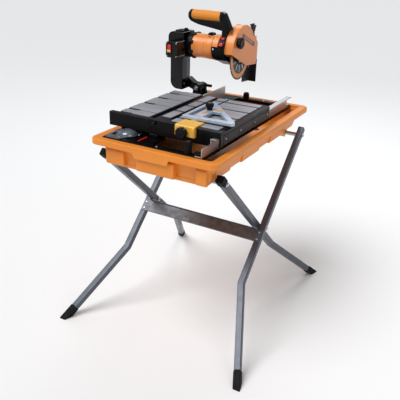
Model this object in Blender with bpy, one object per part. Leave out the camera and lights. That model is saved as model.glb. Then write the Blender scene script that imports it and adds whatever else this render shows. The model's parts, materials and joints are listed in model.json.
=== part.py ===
"""Wet tile saw on a folding stand: tray, sliding carriage, tilting column, saw head and scissor legs.

Metres, +Z up.  The origin is on the floor under the middle of the stand.  +X points to the
operator's right when facing the short front edge of the tray, and +Y points away to the rear.
"""
import math

import bmesh
import bpy
from mathutils import Matrix, Vector

GAP = 0.0003                       # clearance between touching pieces

# Stand
LEG_SIDE = 0.025
LEG_ANGLE = math.radians(42.7)     # upper leg above the horizontal
SPLAY = math.radians(19.2)         # lower leg turns outward past the bend
OUTER_LEG_X = 0.2632
INNER_LEG_X = 0.2340
PIVOT_Z = 0.402
ROD_REACH = 0.430                  # scissor pivot to rod, along the leg
TOP_REACH = 0.464                  # scissor pivot to the leg's top end
BEND_REACH = 0.237                 # scissor pivot down to the bend
FOOT_LENGTH = 0.055
ROD_R = 0.008
BOLT_R = 0.004
ROD_Y = ROD_REACH * math.cos(LEG_ANGLE)
ROD_Z = PIVOT_Z + ROD_REACH * math.sin(LEG_ANGLE)
PLATE_TOP_REACH = -0.0175
PLATE_BOTTOM_REACH = -0.0690
PLATE_THICK = 0.003

# Tray
TRAY_Y = 0.022
RIM_TOP = 0.785
RIM_THICK = 0.0215
RIM_X = 0.250
RIM_Y = 0.4235
BODY_BOTTOM = 0.7045
FLOOR_TOP = 0.7085
LEDGE_Z = 0.7740
OPEN_X = 0.2165
OPEN_Y = 0.3940
BASIN_X = 0.2050
BASIN_Y = 0.3820
DRAIN_R = 0.015
DRAIN_X = 0.10
DRAIN_Y = 0.24
PUMP_TOP = 0.7700
DOME_R = 0.026
DOME_HEIGHT = 0.022

# Support frame that lies on the tray's ledge
FRAME_LOW = LEDGE_Z + GAP
FRAME_TOP = 0.7864
FRAME_X0, FRAME_X1 = -0.2130, 0.1810
FRAME_Y0, FRAME_Y1 = -0.3690, 0.4130
FRAME_BAR = 0.027

# Rails
RAIL_LOW = FRAME_TOP + GAP
SHEET = 0.003
LEFT_WEB_X = -0.0920
LEFT_RAIL_TOP = 0.8470
LEFT_RAIL_Y = (-0.262, 0.322)
RIGHT_WEB_X = 0.1780
RIGHT_RAIL_TOP = 0.8350
RIGHT_RAIL_Y = (-0.372, 0.357)

# Tables
TABLE_TOP = 0.857
TABLE_Y0, TABLE_Y1 = -0.280, 0.098
SIDE_X0, SIDE_X1 = -0.2060, -0.0960
SIDE_LIP_X = -0.0775               # right edge of the side table's top, over the left rail
CAR_X0, CAR_X1 = -0.0600, 0.2100
DECK_LOW = 0.8460
NOTCH_TOP = 0.8380                  # the front bar's notch that clears the right rail
SKIRT_LOW = 0.8120
SKIRT = 0.006
BRACKET_X = 0.1500                 # right face of the wall that carries the right rollers
BRACKET_LOW = 0.7960
SLOT_HALF = 0.0075
RAIL_BAR_Y0 = -0.300               # front faces of the two black front bars
FRONT_BAR_LOW = 0.8040
SIDE_BAR_X0 = -0.2360
BAR_SPLIT_X = -0.0760
GROOVE = 0.007
GROOVE_DEPTH = 0.0035
GROOVE_YS = (-0.228, -0.131, -0.038, 0.047)
ROLLER_R = 0.012
ROLLER_W = 0.016
ROLLER_CLEAR = 0.0010              # between a roller and the rail's flange
ROLLER_YS = (-0.190, 0.055)

# Guide on the front bar, with its angle gauge
CLAMP_X0, CLAMP_X1 = 0.0447, 0.1187
CLAMP_TOP = 0.8625
GAUGE_PIVOT = (0.0780, -0.1350)
GAUGE_LOW = 0.8632
GAUGE_TOP = 0.8740
STUD_R = 0.0040
STUD_HOLE_R = 0.0043

# Saw head
BLADE_X = -0.0050
BLADE_Y = 0.2680
BLADE_Z = 0.9850
BLADE_R = 0.0890
BLADE_HALF = 0.0011
GUARD_HALF = 0.0175
GUARD_WALL = 0.0025
GUARD_Y = 0.2640
GUARD_Z = 1.0080
GUARD_R = 0.1050
PAD_TOP = 1.0560
MOTOR_Y = 0.1960
MOTOR_Z = 1.0270
MOTOR_R = 0.0470

# Column and tilt joint
COL_X0, COL_X1 = -0.2560, -0.2000
COL_Y0, COL_Y1 = 0.1420, 0.2160
COL_LOW = 0.8500
COL_TOP = 1.0080
WALL = 0.0075                      # head bracket's wall round the column
KNOB_X = -0.2280
SWITCH_X = -0.2200
KNOB_Z = 1.0300
TILT_X = -0.1500
TILT_Z = 0.8570
TILT_PIN_R = 0.006

ORANGE = (0.80, 0.27, 0.045)
BLACK = (0.012, 0.012, 0.013)


# ---------------------------------------------------------------- helpers

def clear_scene():
    for obj in list(bpy.data.objects):
        bpy.data.objects.remove(obj, do_unlink=True)


def material(name, color, rough, metal):
    mat = bpy.data.materials.new(name)
    mat.use_nodes = True
    shader = mat.node_tree.nodes["Principled BSDF"]
    shader.inputs["Base Color"].default_value = (*color, 1.0)
    shader.inputs["Roughness"].default_value = rough
    shader.inputs["Metallic"].default_value = metal
    return mat


def add(name, bm, look):
    """Turn a bmesh into a named object with its own material; look is (color, rough, metal)."""
    bmesh.ops.recalc_face_normals(bm, faces=bm.faces)
    mesh = bpy.data.meshes.new(name)
    bm.to_mesh(mesh)
    bm.free()
    mesh.shade_smooth()
    mesh.set_sharp_from_angle(angle=math.radians(35))
    obj = bpy.data.objects.new(name, mesh)
    bpy.context.scene.collection.objects.link(obj)
    if look is not None:
        mesh.materials.append(material(name, *look))
    return obj


def box_bm(lo, hi):
    bm = bmesh.new()
    bmesh.ops.create_cube(bm, size=1.0)
    size = [b - a for a, b in zip(lo, hi)]
    mid = [(a + b) / 2 for a, b in zip(lo, hi)]
    bmesh.ops.scale(bm, vec=size, verts=bm.verts)
    bmesh.ops.translate(bm, vec=mid, verts=bm.verts)
    return bm


def box(name, lo, hi, look=None, bevel=0.0):
    bm = box_bm(lo, hi)
    if bevel > 0.0:
        bmesh.ops.bevel(bm, geom=bm.edges[:], offset=bevel, segments=1, affect="EDGES")
    return add(name, bm, look)


def prism_bm(outline, axis, low, high):
    """Extrude a closed outline along a world axis; outline holds the other two coordinates."""
    bm = bmesh.new()
    rings = []
    for depth in (low, high):
        ring = []
        for a, b in outline:
            co = [a, b]
            co.insert(axis, depth)
            ring.append(bm.verts.new(co))
        rings.append(ring)
    bm.faces.new(rings[0])
    bm.faces.new(rings[1])
    count = len(outline)
    for i in range(count):
        j = (i + 1) % count
        bm.faces.new((rings[0][i], rings[0][j], rings[1][j], rings[1][i]))
    return bm


def prism(name, outline, axis, low, high, look=None):
    return add(name, prism_bm(outline, axis, low, high), look)


def turned_bm(profile, axis, centre, steps=24):
    """Revolve (position, radius) pairs about a world axis through centre, with both ends filled."""
    bm = bmesh.new()
    rings = []
    for along, radius in profile:
        ring = []
        for i in range(steps):
            turn = math.tau * i / steps
            co = [radius * math.cos(turn), radius * math.sin(turn)]
            co.insert(axis, along)
            ring.append(bm.verts.new(Vector(co) + Vector(centre)))
        rings.append(ring)
    for one, two in zip(rings, rings[1:]):
        for i in range(steps):
            j = (i + 1) % steps
            bm.faces.new((one[i], one[j], two[j], two[i]))
    bm.faces.new(rings[0])
    bm.faces.new(rings[-1])
    return bm


def turned(name, profile, axis, centre, look=None, steps=24):
    return add(name, turned_bm(profile, axis, centre, steps), look)


def rod(name, axis, centre, half, radius, look=None, steps=20):
    return turned(name, [(-half, radius), (half, radius)], axis, centre, look, steps)


def combine(target, other, operation):
    """Cut or join another object by a Boolean; the other one stays as a hidden guide."""
    mod = target.modifiers.new(other.name, "BOOLEAN")
    mod.operation = operation
    mod.solver = "EXACT"
    mod.object = other
    other.hide_render = True
    other.display_type = "WIRE"
    return target


def cut(target, other):
    return combine(target, other, "DIFFERENCE")


def fuse(target, other):
    return combine(target, other, "UNION")


def set_origin(obj, point):
    """Move an object's origin to a point on its joint's axis without moving its shape."""
    obj.data.transform(Matrix.Translation(-Vector(point)))
    obj.location = point
    return obj


def arc(centre, radius, start, end, steps):
    """Points on a circle between two angles in degrees, both ends included."""
    points = []
    for i in range(steps + 1):
        turn = math.radians(start + (end - start) * i / steps)
        points.append((centre[0] + radius * math.cos(turn), centre[1] + radius * math.sin(turn)))
    return points


def rounded(half_a, half_b, radius, centre=(0.0, 0.0), steps=4):
    """Outline of a rectangle with round corners."""
    points = []
    for k, (sa, sb) in enumerate(((1, 1), (-1, 1), (-1, -1), (1, -1))):
        corner = (centre[0] + sa * (half_a - radius), centre[1] + sb * (half_b - radius))
        points += arc(corner, radius, 90 * k, 90 * k + 90, steps)
    return points


def loft_bm(sections):
    """Skin (z, outline) sections that have equal point counts, and fill both ends."""
    bm = bmesh.new()
    rings = [[bm.verts.new((x, y, z)) for x, y in outline] for z, outline in sections]
    count = len(rings[0])
    for one, two in zip(rings, rings[1:]):
        for i in range(count):
            j = (i + 1) % count
            bm.faces.new((one[i], one[j], two[j], two[i]))
    bm.faces.new(rings[0])
    bm.faces.new(rings[-1])
    return bm


# ---------------------------------------------------------------- stand

def leg_frame(front_sign):
    """Upper-leg direction and face normal in the YZ plane; sign +1 leans to the rear."""
    up = Vector((0, front_sign * math.cos(LEG_ANGLE), math.sin(LEG_ANGLE)))
    normal = Vector((0, -front_sign * math.sin(LEG_ANGLE), math.cos(LEG_ANGLE)))
    return up, normal


def leg_points(lean, side, leg_x):
    """Top end, bend, start of the rubber foot and the point on the floor."""
    up, normal = leg_frame(lean)
    pivot = Vector((side * leg_x, 0, PIVOT_Z))
    bend = pivot - up * BEND_REACH
    down = -up * math.cos(SPLAY) + Vector((side, 0, 0)) * math.sin(SPLAY)
    floor = bend + down * (bend.z / -down.z)
    return pivot + up * TOP_REACH, bend, floor - down * FOOT_LENGTH, floor, down, normal


def square_ring(bm, centre, across, normal, half):
    corners = ((-1, -1), (1, -1), (1, 1), (-1, 1))
    return [bm.verts.new(centre + across * a * half + normal * b * half) for a, b in corners]


def tube_bm(stations, normal, half):
    """Square bar through stations of (point, sideways direction scaled for the mitre)."""
    bm = bmesh.new()
    rings = [square_ring(bm, point, across, normal, half) for point, across in stations]
    for one, two in zip(rings, rings[1:]):
        for i in range(4):
            j = (i + 1) % 4
            bm.faces.new((one[i], one[j], two[j], two[i]))
    bm.faces.new(rings[0])
    bm.faces.new(rings[-1])
    return bm


def make_leg(name, foot_name, lean, side, leg_x, origin):
    top, bend, ankle, floor, down, normal = leg_points(lean, side, leg_x)
    half = LEG_SIDE / 2
    upper_across = Vector((1, 0, 0))
    lower_across = normal.cross(down)
    if lower_across.x < 0:
        lower_across.negate()
    mid_across = (upper_across + lower_across).normalized() / math.cos(SPLAY / 2)
    stations = [(top, upper_across), (bend, mid_across), (ankle, lower_across)]
    leg = add(name, tube_bm(stations, normal, half), ((0.33, 0.34, 0.36), 0.38, 0.75))
    hole = rod("cut_" + name, 0, (side * leg_x, 0, PIVOT_Z), 0.03, BOLT_R + GAP, steps=16)
    cut(leg, hole)
    set_origin(leg, origin)
    foot_bm = tube_bm([(ankle + down * GAP, lower_across), (floor + down * 0.04, lower_across)],
                      normal, half + 0.0012)
    geom = foot_bm.verts[:] + foot_bm.edges[:] + foot_bm.faces[:]
    result = bmesh.ops.bisect_plane(foot_bm, geom=geom, plane_co=(0, 0, 0), plane_no=(0, 0, 1),
                                    clear_inner=True)
    edges = [e for e in result["geom_cut"] if isinstance(e, bmesh.types.BMEdge)]
    bmesh.ops.edgeloop_fill(foot_bm, edges=edges)
    foot = add(foot_name, foot_bm, (BLACK, 0.7, 0.0))
    set_origin(foot, origin)


def make_cross_plate(origin):
    up, normal = leg_frame(1)
    pivot = Vector((0, 0, PIVOT_Z))
    inner = LEG_SIDE / 2 + GAP
    corners = []
    for reach, lift in ((PLATE_TOP_REACH, inner), (PLATE_BOTTOM_REACH, inner),
                        (PLATE_BOTTOM_REACH, inner + PLATE_THICK), (PLATE_TOP_REACH, inner + PLATE_THICK)):
        point = pivot + up * reach + normal * lift
        corners.append((point.y, point.z))
    plate = prism("cross_plate", corners, 0, -0.2725, 0.2725, ((0.36, 0.37, 0.39), 0.34, 0.8))
    set_origin(plate, origin)


def make_pivot_bolt(name, side, origin):
    inside = INNER_LEG_X - LEG_SIDE / 2 - 0.0004
    outside = OUTER_LEG_X + LEG_SIDE / 2 + 0.0004
    profile = [(inside - 0.006, 0.0075), (inside, 0.0075), (inside, BOLT_R),
               (outside, BOLT_R), (outside, 0.0080), (outside + 0.005, 0.0070)]
    profile = [(side * along, radius) for along, radius in profile]
    bolt = turned(name, profile, 0, (0, 0, PIVOT_Z), ((0.55, 0.56, 0.58), 0.3, 1.0), 16)
    set_origin(bolt, origin)


def make_stand():
    rear = (0, ROD_Y, ROD_Z)
    centre = (0, 0, PIVOT_Z)
    steel = ((0.60, 0.61, 0.63), 0.3, 1.0)
    for side, word in ((-1, "left"), (1, "right")):
        make_leg("outer_leg_" + word, "outer_foot_" + word, 1, side, OUTER_LEG_X, rear)
        make_leg("inner_leg_" + word, "inner_foot_" + word, -1, side, INNER_LEG_X, centre)
        make_pivot_bolt("pivot_bolt_" + word, side, rear)
    make_cross_plate(rear)
    rod("rear_rod", 0, rear, OUTER_LEG_X - LEG_SIDE / 2 - GAP, ROD_R, steel)
    front = rod("front_rod", 0, (0, -ROD_Y, ROD_Z), INNER_LEG_X - LEG_SIDE / 2 - GAP, ROD_R, steel)
    set_origin(front, centre)


# ---------------------------------------------------------------- tray

def make_tray():
    at = (0.0, TRAY_Y)
    rim_low = RIM_TOP - RIM_THICK
    sections = [
        (BODY_BOTTOM, rounded(0.2035, 0.3850, 0.022, at)),
        (rim_low, rounded(0.2195, 0.4000, 0.024, at)),
        (rim_low, rounded(RIM_X - 0.002, RIM_Y - 0.002, 0.028, at)),
        (rim_low + 0.003, rounded(RIM_X, RIM_Y, 0.030, at)),
        (RIM_TOP - 0.005, rounded(RIM_X, RIM_Y, 0.030, at)),
        (RIM_TOP, rounded(RIM_X - 0.006, RIM_Y - 0.006, 0.024, at)),
        (RIM_TOP, rounded(OPEN_X, OPEN_Y, 0.010, at)),
        (LEDGE_Z, rounded(OPEN_X, OPEN_Y, 0.010, at)),
        (LEDGE_Z, rounded(BASIN_X, BASIN_Y, 0.008, at)),
        (FLOOR_TOP, rounded(0.1965, 0.3740, 0.008, at)),
    ]
    tray = add("tray", loft_bm(sections), (ORANGE, 0.45, 0.0))
    for side, word in ((-1, "left"), (1, "right")):
        hook_x = sorted((side * 0.172, side * 0.203))
        low = (hook_x[0], ROD_Y - 0.018, 0.6770)
        high = (hook_x[1], ROD_Y + 0.018, 0.7075)
        fuse(tray, box("rear_hook_" + word, low, high))
    cut(tray, rod("rod_bore", 0, (0, ROD_Y, ROD_Z), 0.24, ROD_R + GAP, steps=20))
    cut(tray, rod("drain_bore", 2, (DRAIN_X, DRAIN_Y, 0.705), 0.02, DRAIN_R + GAP, steps=20))
    # The bar under the tray's front that the front rod rests behind.
    rod_front = -ROD_Y - ROD_R - GAP
    saddle_top = BODY_BOTTOM - GAP
    box("front_saddle", (-0.190, -0.3615, 0.6870), (0.196, rod_front, saddle_top), (ORANGE, 0.45, 0.0))
    plug = [(0.6935, 0.019), (BODY_BOTTOM - GAP, 0.019), (BODY_BOTTOM - GAP, DRAIN_R), (0.7090, DRAIN_R)]
    turned("drain_plug", plug, 2, (DRAIN_X, DRAIN_Y, 0), (BLACK, 0.6, 0.0), 20)


def make_support_frame():
    look = (BLACK, 0.45, 0.3)
    centre = ((FRAME_X0 + FRAME_X1) / 2, (FRAME_Y0 + FRAME_Y1) / 2)
    outline = rounded((FRAME_X1 - FRAME_X0) / 2, (FRAME_Y1 - FRAME_Y0) / 2, 0.008, centre)
    frame = prism("support_frame", outline, 2, FRAME_LOW, FRAME_TOP, look)
    low, high = FRAME_LOW - 0.01, FRAME_TOP + 0.01
    left_in = FRAME_X0 + FRAME_BAR
    right_in = FRAME_X1 - FRAME_BAR
    front_in = FRAME_Y0 + FRAME_BAR
    rear_in = FRAME_Y1 - FRAME_BAR
    windows = {
        "left_window": ((left_in, front_in), (-0.118, 0.165)),
        "rear_left_window": ((left_in, 0.305), (-0.118, rear_in)),
        "right_window": ((-0.056, -0.250), (right_in, rear_in)),
        "front_window": ((-0.030, front_in), (right_in, -0.200)),
    }
    for name, (a, b) in windows.items():
        cut(frame, box(name, (a[0], a[1], low), (b[0], b[1], high)))


def make_rails():
    look = ((0.62, 0.63, 0.65), 0.32, 1.0)
    web = LEFT_WEB_X
    outline = [(web, RAIL_LOW), (web + 0.031, RAIL_LOW), (web + 0.031, RAIL_LOW + SHEET),
               (web + SHEET, RAIL_LOW + SHEET), (web + SHEET, LEFT_RAIL_TOP), (web, LEFT_RAIL_TOP)]
    prism("left_rail", outline, 1, *LEFT_RAIL_Y, look)
    web = RIGHT_WEB_X
    outline = [(web - 0.024, RAIL_LOW), (web + SHEET, RAIL_LOW), (web + SHEET, RIGHT_RAIL_TOP - SHEET),
               (web + 0.022, RIGHT_RAIL_TOP - SHEET), (web + 0.022, RIGHT_RAIL_TOP), (web, RIGHT_RAIL_TOP),
               (web, RAIL_LOW + SHEET), (web - 0.024, RAIL_LOW + SHEET)]
    rail = prism("right_rail", outline, 1, *RIGHT_RAIL_Y, look)
    cut(rail, box("front_step", (web - 0.04, RIGHT_RAIL_Y[0] - 0.01, 0.8180), (web + 0.04, -0.3120, 0.85)))


def make_tray_fittings():
    plastic = (BLACK, 0.55, 0.0)
    box("pump_housing", (-0.1790, -0.3400, FLOOR_TOP + GAP), (-0.1220, -0.2750, PUMP_TOP), plastic, 0.004)
    dome_low = PUMP_TOP + GAP
    dome = [(dome_low, DOME_R)]
    for angle in (20, 40, 60, 78):
        turn = math.radians(angle)
        dome.append((dome_low + DOME_HEIGHT * math.sin(turn), DOME_R * math.cos(turn)))
    turned("pump_dome", dome, 2, (-0.1500, -0.3080, 0), ((0.6, 0.62, 0.63), 0.2, 0.6), 20)
    low = FRAME_TOP + GAP
    post = [(low, 0.0135), (low + 0.034, 0.0135), (low + 0.042, 0.0105)]
    turned("front_post", post, 2, (0.1200, -0.3555, 0), plastic, 18)
    post = [(low, 0.0132), (low + 0.022, 0.0132), (low + 0.025, 0.0110)]
    turned("rear_post", post, 2, (-0.0240, 0.3996, 0), plastic, 18)


# ---------------------------------------------------------------- tables

def groove_boxes(target, prefix, x0, x1):
    for i, y in enumerate(GROOVE_YS):
        lo = (x0, y - GROOVE / 2, TABLE_TOP - GROOVE_DEPTH)
        cut(target, box("%s_groove_%d" % (prefix, i), lo, (x1, y + GROOVE / 2, TABLE_TOP + 0.01)))


def make_side_table():
    black = (BLACK, 0.5, 0.2)
    grey = ((0.30, 0.29, 0.29), 0.45, 0.6)
    side = box("side_table", (SIDE_X0, TABLE_Y0, 0.8380), (SIDE_X1, TABLE_Y1, TABLE_TOP), grey)
    for word, x0, x1 in (("right", SIDE_X1 - 0.021, SIDE_X1), ("left", SIDE_X0, SIDE_X0 + 0.008)):
        low = (x0, TABLE_Y0 + 0.01, FRAME_TOP + GAP)
        fuse(side, box("side_support_" + word, low, (x1, TABLE_Y1 - 0.01, 0.8450)))
    lip_low = (SIDE_X1 - 0.010, TABLE_Y0, LEFT_RAIL_TOP + 2 * GAP)
    fuse(side, box("side_lip", lip_low, (SIDE_LIP_X, TABLE_Y1, TABLE_TOP)))
    groove_boxes(side, "side", SIDE_X0 - 0.01, SIDE_X1 - 0.018)
    lo = (SIDE_BAR_X0, RAIL_BAR_Y0, FRONT_BAR_LOW + 0.003)
    box("side_table_bar", lo, (BAR_SPLIT_X - GAP, TABLE_Y0 - GAP, TABLE_TOP), black, 0.0015)


def make_carriage():
    black = (BLACK, 0.45, 0.3)
    deck = box("carriage", (CAR_X0, TABLE_Y0, DECK_LOW), (CAR_X1, TABLE_Y1, TABLE_TOP), black)
    walls = {
        "left_skirt": (CAR_X0, 0.0, BRACKET_LOW),
        "right_skirt": (CAR_X1 - SKIRT, 0.0, SKIRT_LOW),
        "roller_bracket": (BRACKET_X - SKIRT, 0.02, BRACKET_LOW),
    }
    for name, (x, inset, low) in walls.items():
        corner = (x + SKIRT, TABLE_Y1 - inset, DECK_LOW + 0.007)
        fuse(deck, box(name, (x, TABLE_Y0 + inset, low), corner))
    slot_low = (BLADE_X - SLOT_HALF, -0.255, DECK_LOW - 0.01)
    cut(deck, box("blade_slot", slot_low, (BLADE_X + SLOT_HALF, TABLE_Y1 + 0.01, TABLE_TOP + 0.01)))
    groove_boxes(deck, "deck", BLADE_X + 0.016, CAR_X1 - 0.016)
    lo = (BAR_SPLIT_X + GAP, RAIL_BAR_Y0, FRONT_BAR_LOW)
    bar = box("carriage_bar", lo, (CAR_X1, TABLE_Y0 - GAP, TABLE_TOP), black, 0.0015)
    notch_low = (RIGHT_WEB_X - 0.004, RAIL_BAR_Y0 - 0.01, 0.79)
    notch_high = (RIGHT_WEB_X + 0.0255, TABLE_Y0 + 0.01, NOTCH_TOP)
    cut(bar, box("rail_notch", notch_low, notch_high))
    for i, y in enumerate(ROLLER_YS):
        make_roller("roller_left_%d" % i, CAR_X0 - GAP, -1, y)
        make_roller("roller_right_%d" % i, BRACKET_X + GAP, 1, y)


def make_roller(name, x, side, y):
    z = RAIL_LOW + SHEET + ROLLER_CLEAR + ROLLER_R
    profile = [(0.0, 0.004), (0.0025, 0.004), (0.0025, ROLLER_R - 0.001), (0.0035, ROLLER_R),
               (0.0025 + ROLLER_W, ROLLER_R), (0.0035 + ROLLER_W, ROLLER_R - 0.001)]
    profile = [(side * along, radius) for along, radius in profile]
    roller = turned(name, profile, 0, (x, y, z), ((0.35, 0.2, 0.08), 0.5, 0.0), 20)
    set_origin(roller, (x, y, z))


def make_carriage_lock():
    """Cam lever under the carriage's front bar."""
    pivot = (-0.0455, RAIL_BAR_Y0 - GAP, 0.8450)
    bm = turned_bm([(-0.010, 0.006), (0.0, 0.006)], 1, pivot, 16)
    lever = add("carriage_lock", bm, ((0.10, 0.10, 0.11), 0.4, 0.0))
    arm = prism("lock_arm", [(pivot[0] - 0.004, pivot[2] - 0.003), (pivot[0] - 0.026, pivot[2] - 0.0195),
                             (pivot[0] - 0.0295, pivot[2] - 0.0135), (pivot[0] - 0.002, pivot[2] + 0.005)],
                1, pivot[1] - 0.009, pivot[1] - 0.003)
    fuse(lever, arm)
    set_origin(lever, pivot)


# ---------------------------------------------------------------- guide and gauge

def make_guide():
    yellow = ((0.85, 0.45, 0.03), 0.4, 0.0)
    top = box("guide_clamp", (CLAMP_X0, -0.3100, TABLE_TOP + GAP), (CLAMP_X1, -0.2450, CLAMP_TOP), yellow)
    fuse(top, box("clamp_front", (CLAMP_X0, -0.3140, 0.8260), (CLAMP_X1, RAIL_BAR_Y0 - GAP, CLAMP_TOP)))
    low = (GAUGE_PIVOT[0] - 0.011, -0.2447, TABLE_TOP + GAP)
    high = (GAUGE_PIVOT[0] + 0.011, GAUGE_PIVOT[1] + 0.012, GAUGE_LOW - GAP)
    arm = box("guide_arm", low, high, ((0.55, 0.56, 0.58), 0.35, 1.0))
    cut(arm, rod("stud_hole", 2, (*GAUGE_PIVOT, 0.860), 0.01, STUD_HOLE_R, steps=16))
    x = 0.0770
    profile = [(-0.3143, 0.0135), (-0.3190, 0.0135), (-0.3190, 0.0205), (-0.3340, 0.0205), (-0.3370, 0.0180)]
    knob = turned("guide_knob", profile, 1, (x, 0, 0.8400), (BLACK, 0.4, 0.0), 22)
    set_origin(knob, (x, -0.3143, 0.8400))


def make_gauge():
    """Triangular angle gauge with a window, which turns on its stud."""
    silver = ((0.62, 0.66, 0.70), 0.3, 0.9)
    px, py = GAUGE_PIVOT
    outer = [(0.030, -0.244), (0.216, -0.240), (0.222, -0.228), (0.214, -0.212),
             (0.052, -0.034), (0.038, -0.034), (0.026, -0.060)]
    plate = prism("gauge_plate", outer, 2, GAUGE_LOW, GAUGE_TOP, silver)
    window_low = [(0.098, -0.222), (0.190, -0.218), (0.122, -0.142), (0.098, -0.142)]
    window_left = [(0.042, -0.225), (0.061, -0.225), (0.061, -0.122), (0.042, -0.098)]
    cut(plate, prism("gauge_window_right", window_low, 2, 0.85, 0.89))
    cut(plate, prism("gauge_window_left", window_left, 2, 0.85, 0.89))
    cut(plate, rod("gauge_bore", 2, (px, py, 0.868), 0.02, STUD_HOLE_R, steps=16))
    set_origin(plate, (px, py, GAUGE_LOW))
    stud = [(TABLE_TOP + 2 * GAP, STUD_R), (0.9020, STUD_R)]
    turned("gauge_stud", stud, 2, (px, py, 0), ((0.6, 0.6, 0.62), 0.3, 1.0), 16)
    profile = [(GAUGE_TOP + GAP, 0.0105), (0.8830, 0.0105), (0.8860, 0.0150),
               (0.8970, 0.0150), (0.8990, 0.0125)]
    knob = turned("gauge_knob", profile, 2, (px, py, 0), (BLACK, 0.4, 0.0), 20)
    cut(knob, rod("gauge_knob_bore", 2, (px, py, 0.886), 0.03, STUD_HOLE_R, steps=16))
    set_origin(knob, (px, py, GAUGE_TOP))


# ---------------------------------------------------------------- column and tilt joint

def make_tilt_base():
    look = (BLACK, 0.4, 0.5)
    low = FRAME_TOP + GAP
    base = box("tilt_base", (-0.1760, 0.1700, low), (-0.0980, 0.3000, 0.8180), look, 0.002)
    for i, (y0, y1) in enumerate(((0.1760, 0.1880), (0.2210, 0.2330))):
        outline = [(TILT_X - 0.020, 0.8150), (TILT_X + 0.020, 0.8150)]
        outline += arc((TILT_X, TILT_Z), 0.017, 0, 180, 10)
        fuse(base, prism("base_lug_%d" % i, outline, 1, y0, y1))
    cut(base, rod("base_bore", 1, (TILT_X, 0.2045, TILT_Z), 0.04, TILT_PIN_R + GAP, steps=16))
    profile = [(0.1700, 0.0080), (0.1757, 0.0080), (0.1757, TILT_PIN_R), (0.2380, TILT_PIN_R)]
    turned("tilt_pin", profile, 1, (TILT_X, 0, TILT_Z), ((0.6, 0.61, 0.64), 0.3, 1.0), 16)


def make_column():
    look = (BLACK, 0.35, 0.4)
    pivot = (TILT_X, 0.2045, TILT_Z)
    x0, x1 = COL_X0, COL_X1
    outline = [(x1, COL_LOW), (x1, COL_TOP), (x0, COL_TOP)]
    outline += arc((x0 + 0.034, COL_LOW + 0.034), 0.034, 180, 270, 6)
    column = prism("column", outline, 1, COL_Y0, COL_Y1, look)
    low = (x1 - 0.006, COL_Y0 + 0.036, COL_LOW + 0.03)
    cut(column, box("column_recess", low, (x1 + 0.01, COL_Y1 + 0.01, COL_TOP + 0.01)))
    set_origin(column, pivot)
    # The arm runs from the column's foot to the lug between the base's two ears.
    outline = [(x1 + GAP, COL_LOW + 0.004), (TILT_X - 0.010, TILT_Z - 0.0160)]
    outline += arc((TILT_X, TILT_Z), 0.0165, -90, 90, 8)
    outline += [(TILT_X - 0.022, TILT_Z + 0.0180), (x1 + GAP, COL_LOW + 0.044)]
    foot = prism("column_foot", outline, 1, 0.1883, 0.2207, look)
    cut(foot, rod("foot_bore", 1, (TILT_X, 0.2045, TILT_Z), 0.04, TILT_PIN_R + GAP, steps=16))
    set_origin(foot, pivot)


def make_tilt_lock():
    """Ratchet handle on the rear end of the tilt pin."""
    centre = (TILT_X, 0.2383, TILT_Z)
    profile = [(0.0, 0.0100), (0.012, 0.0100)]
    hub = turned("tilt_lock", profile, 1, centre, ((0.03, 0.03, 0.032), 0.4, 0.0), 18)
    arm = box("tilt_lock_arm", (TILT_X, 0.2400, TILT_Z - 0.005), (TILT_X + 0.034, 0.2490, TILT_Z + 0.005))
    fuse(hub, arm)
    set_origin(hub, centre)


# ---------------------------------------------------------------- saw head

def make_head_bracket():
    look = (BLACK, 0.3, 0.4)
    lo = (COL_X0 - WALL, COL_Y0 - WALL, 0.9740)
    hi = (COL_X1 + WALL, COL_Y1 + WALL, 1.0800)
    outline = [(lo[0], lo[2]), (hi[0], lo[2]), (hi[0], hi[2])]
    outline += arc((lo[0] + 0.022, hi[2] - 0.022), 0.022, 90, 180, 6)
    bracket = prism("head_bracket", outline, 1, lo[1], hi[1], look)
    pocket = box("column_pocket", (COL_X0 - GAP, COL_Y0 - GAP, 0.96), (COL_X1 + GAP, COL_Y1 + GAP, 1.0720))
    cut(bracket, pocket)
    cut(bracket, rod("knob_bore", 1, (KNOB_X, COL_Y1 + 0.015, KNOB_Z), 0.03, 0.0045, steps=16))


def make_switch_box():
    look = (BLACK, 0.5, 0.0)
    mid_x, mid_z = -0.2095, 1.0200
    y1 = COL_Y0 - WALL - GAP
    y0 = y1 - 0.062
    housing = prism("switch_box", rounded(0.0265, 0.031, 0.010, (mid_x, mid_z)), 1, y0, y1, look)
    low = (SWITCH_X - 0.0085, y0 - 0.01, mid_z - 0.014)
    cut(housing, box("switch_well", low, (SWITCH_X + 0.0085, y0 + 0.012, mid_z + 0.022)))
    pivot = (SWITCH_X, y0 + 0.004, mid_z + 0.004)
    rocker = [(y0 + 0.0080, 1.0090), (y0 + 0.0000, 1.0085), (y0 - 0.0045, 1.0140), (y0 - 0.0015, 1.0240),
              (y0 - 0.0015, 1.0390), (y0 + 0.0080, 1.0390)]
    red = ((0.75, 0.02, 0.015), 0.35, 0.0)
    paddle = prism("power_switch", rocker, 0, SWITCH_X - 0.0075, SWITCH_X + 0.0075, red)
    set_origin(paddle, pivot)


def make_motor():
    ring_x0 = COL_X1 + WALL + GAP
    ring = [(ring_x0, 0.0440), (ring_x0 + 0.004, 0.0500), (-0.1680, 0.0500)]
    turned("motor_ring", ring, 0, (0, MOTOR_Y, MOTOR_Z), (BLACK, 0.4, 0.0), 28)
    body = [(-0.1677, MOTOR_R - 0.001), (-0.1640, MOTOR_R), (-0.0780, MOTOR_R + 0.001),
            (-0.0720, MOTOR_R - 0.002)]
    turned("motor_body", body, 0, (0, MOTOR_Y, MOTOR_Z), (ORANGE, 0.4, 0.0), 28)


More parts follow.
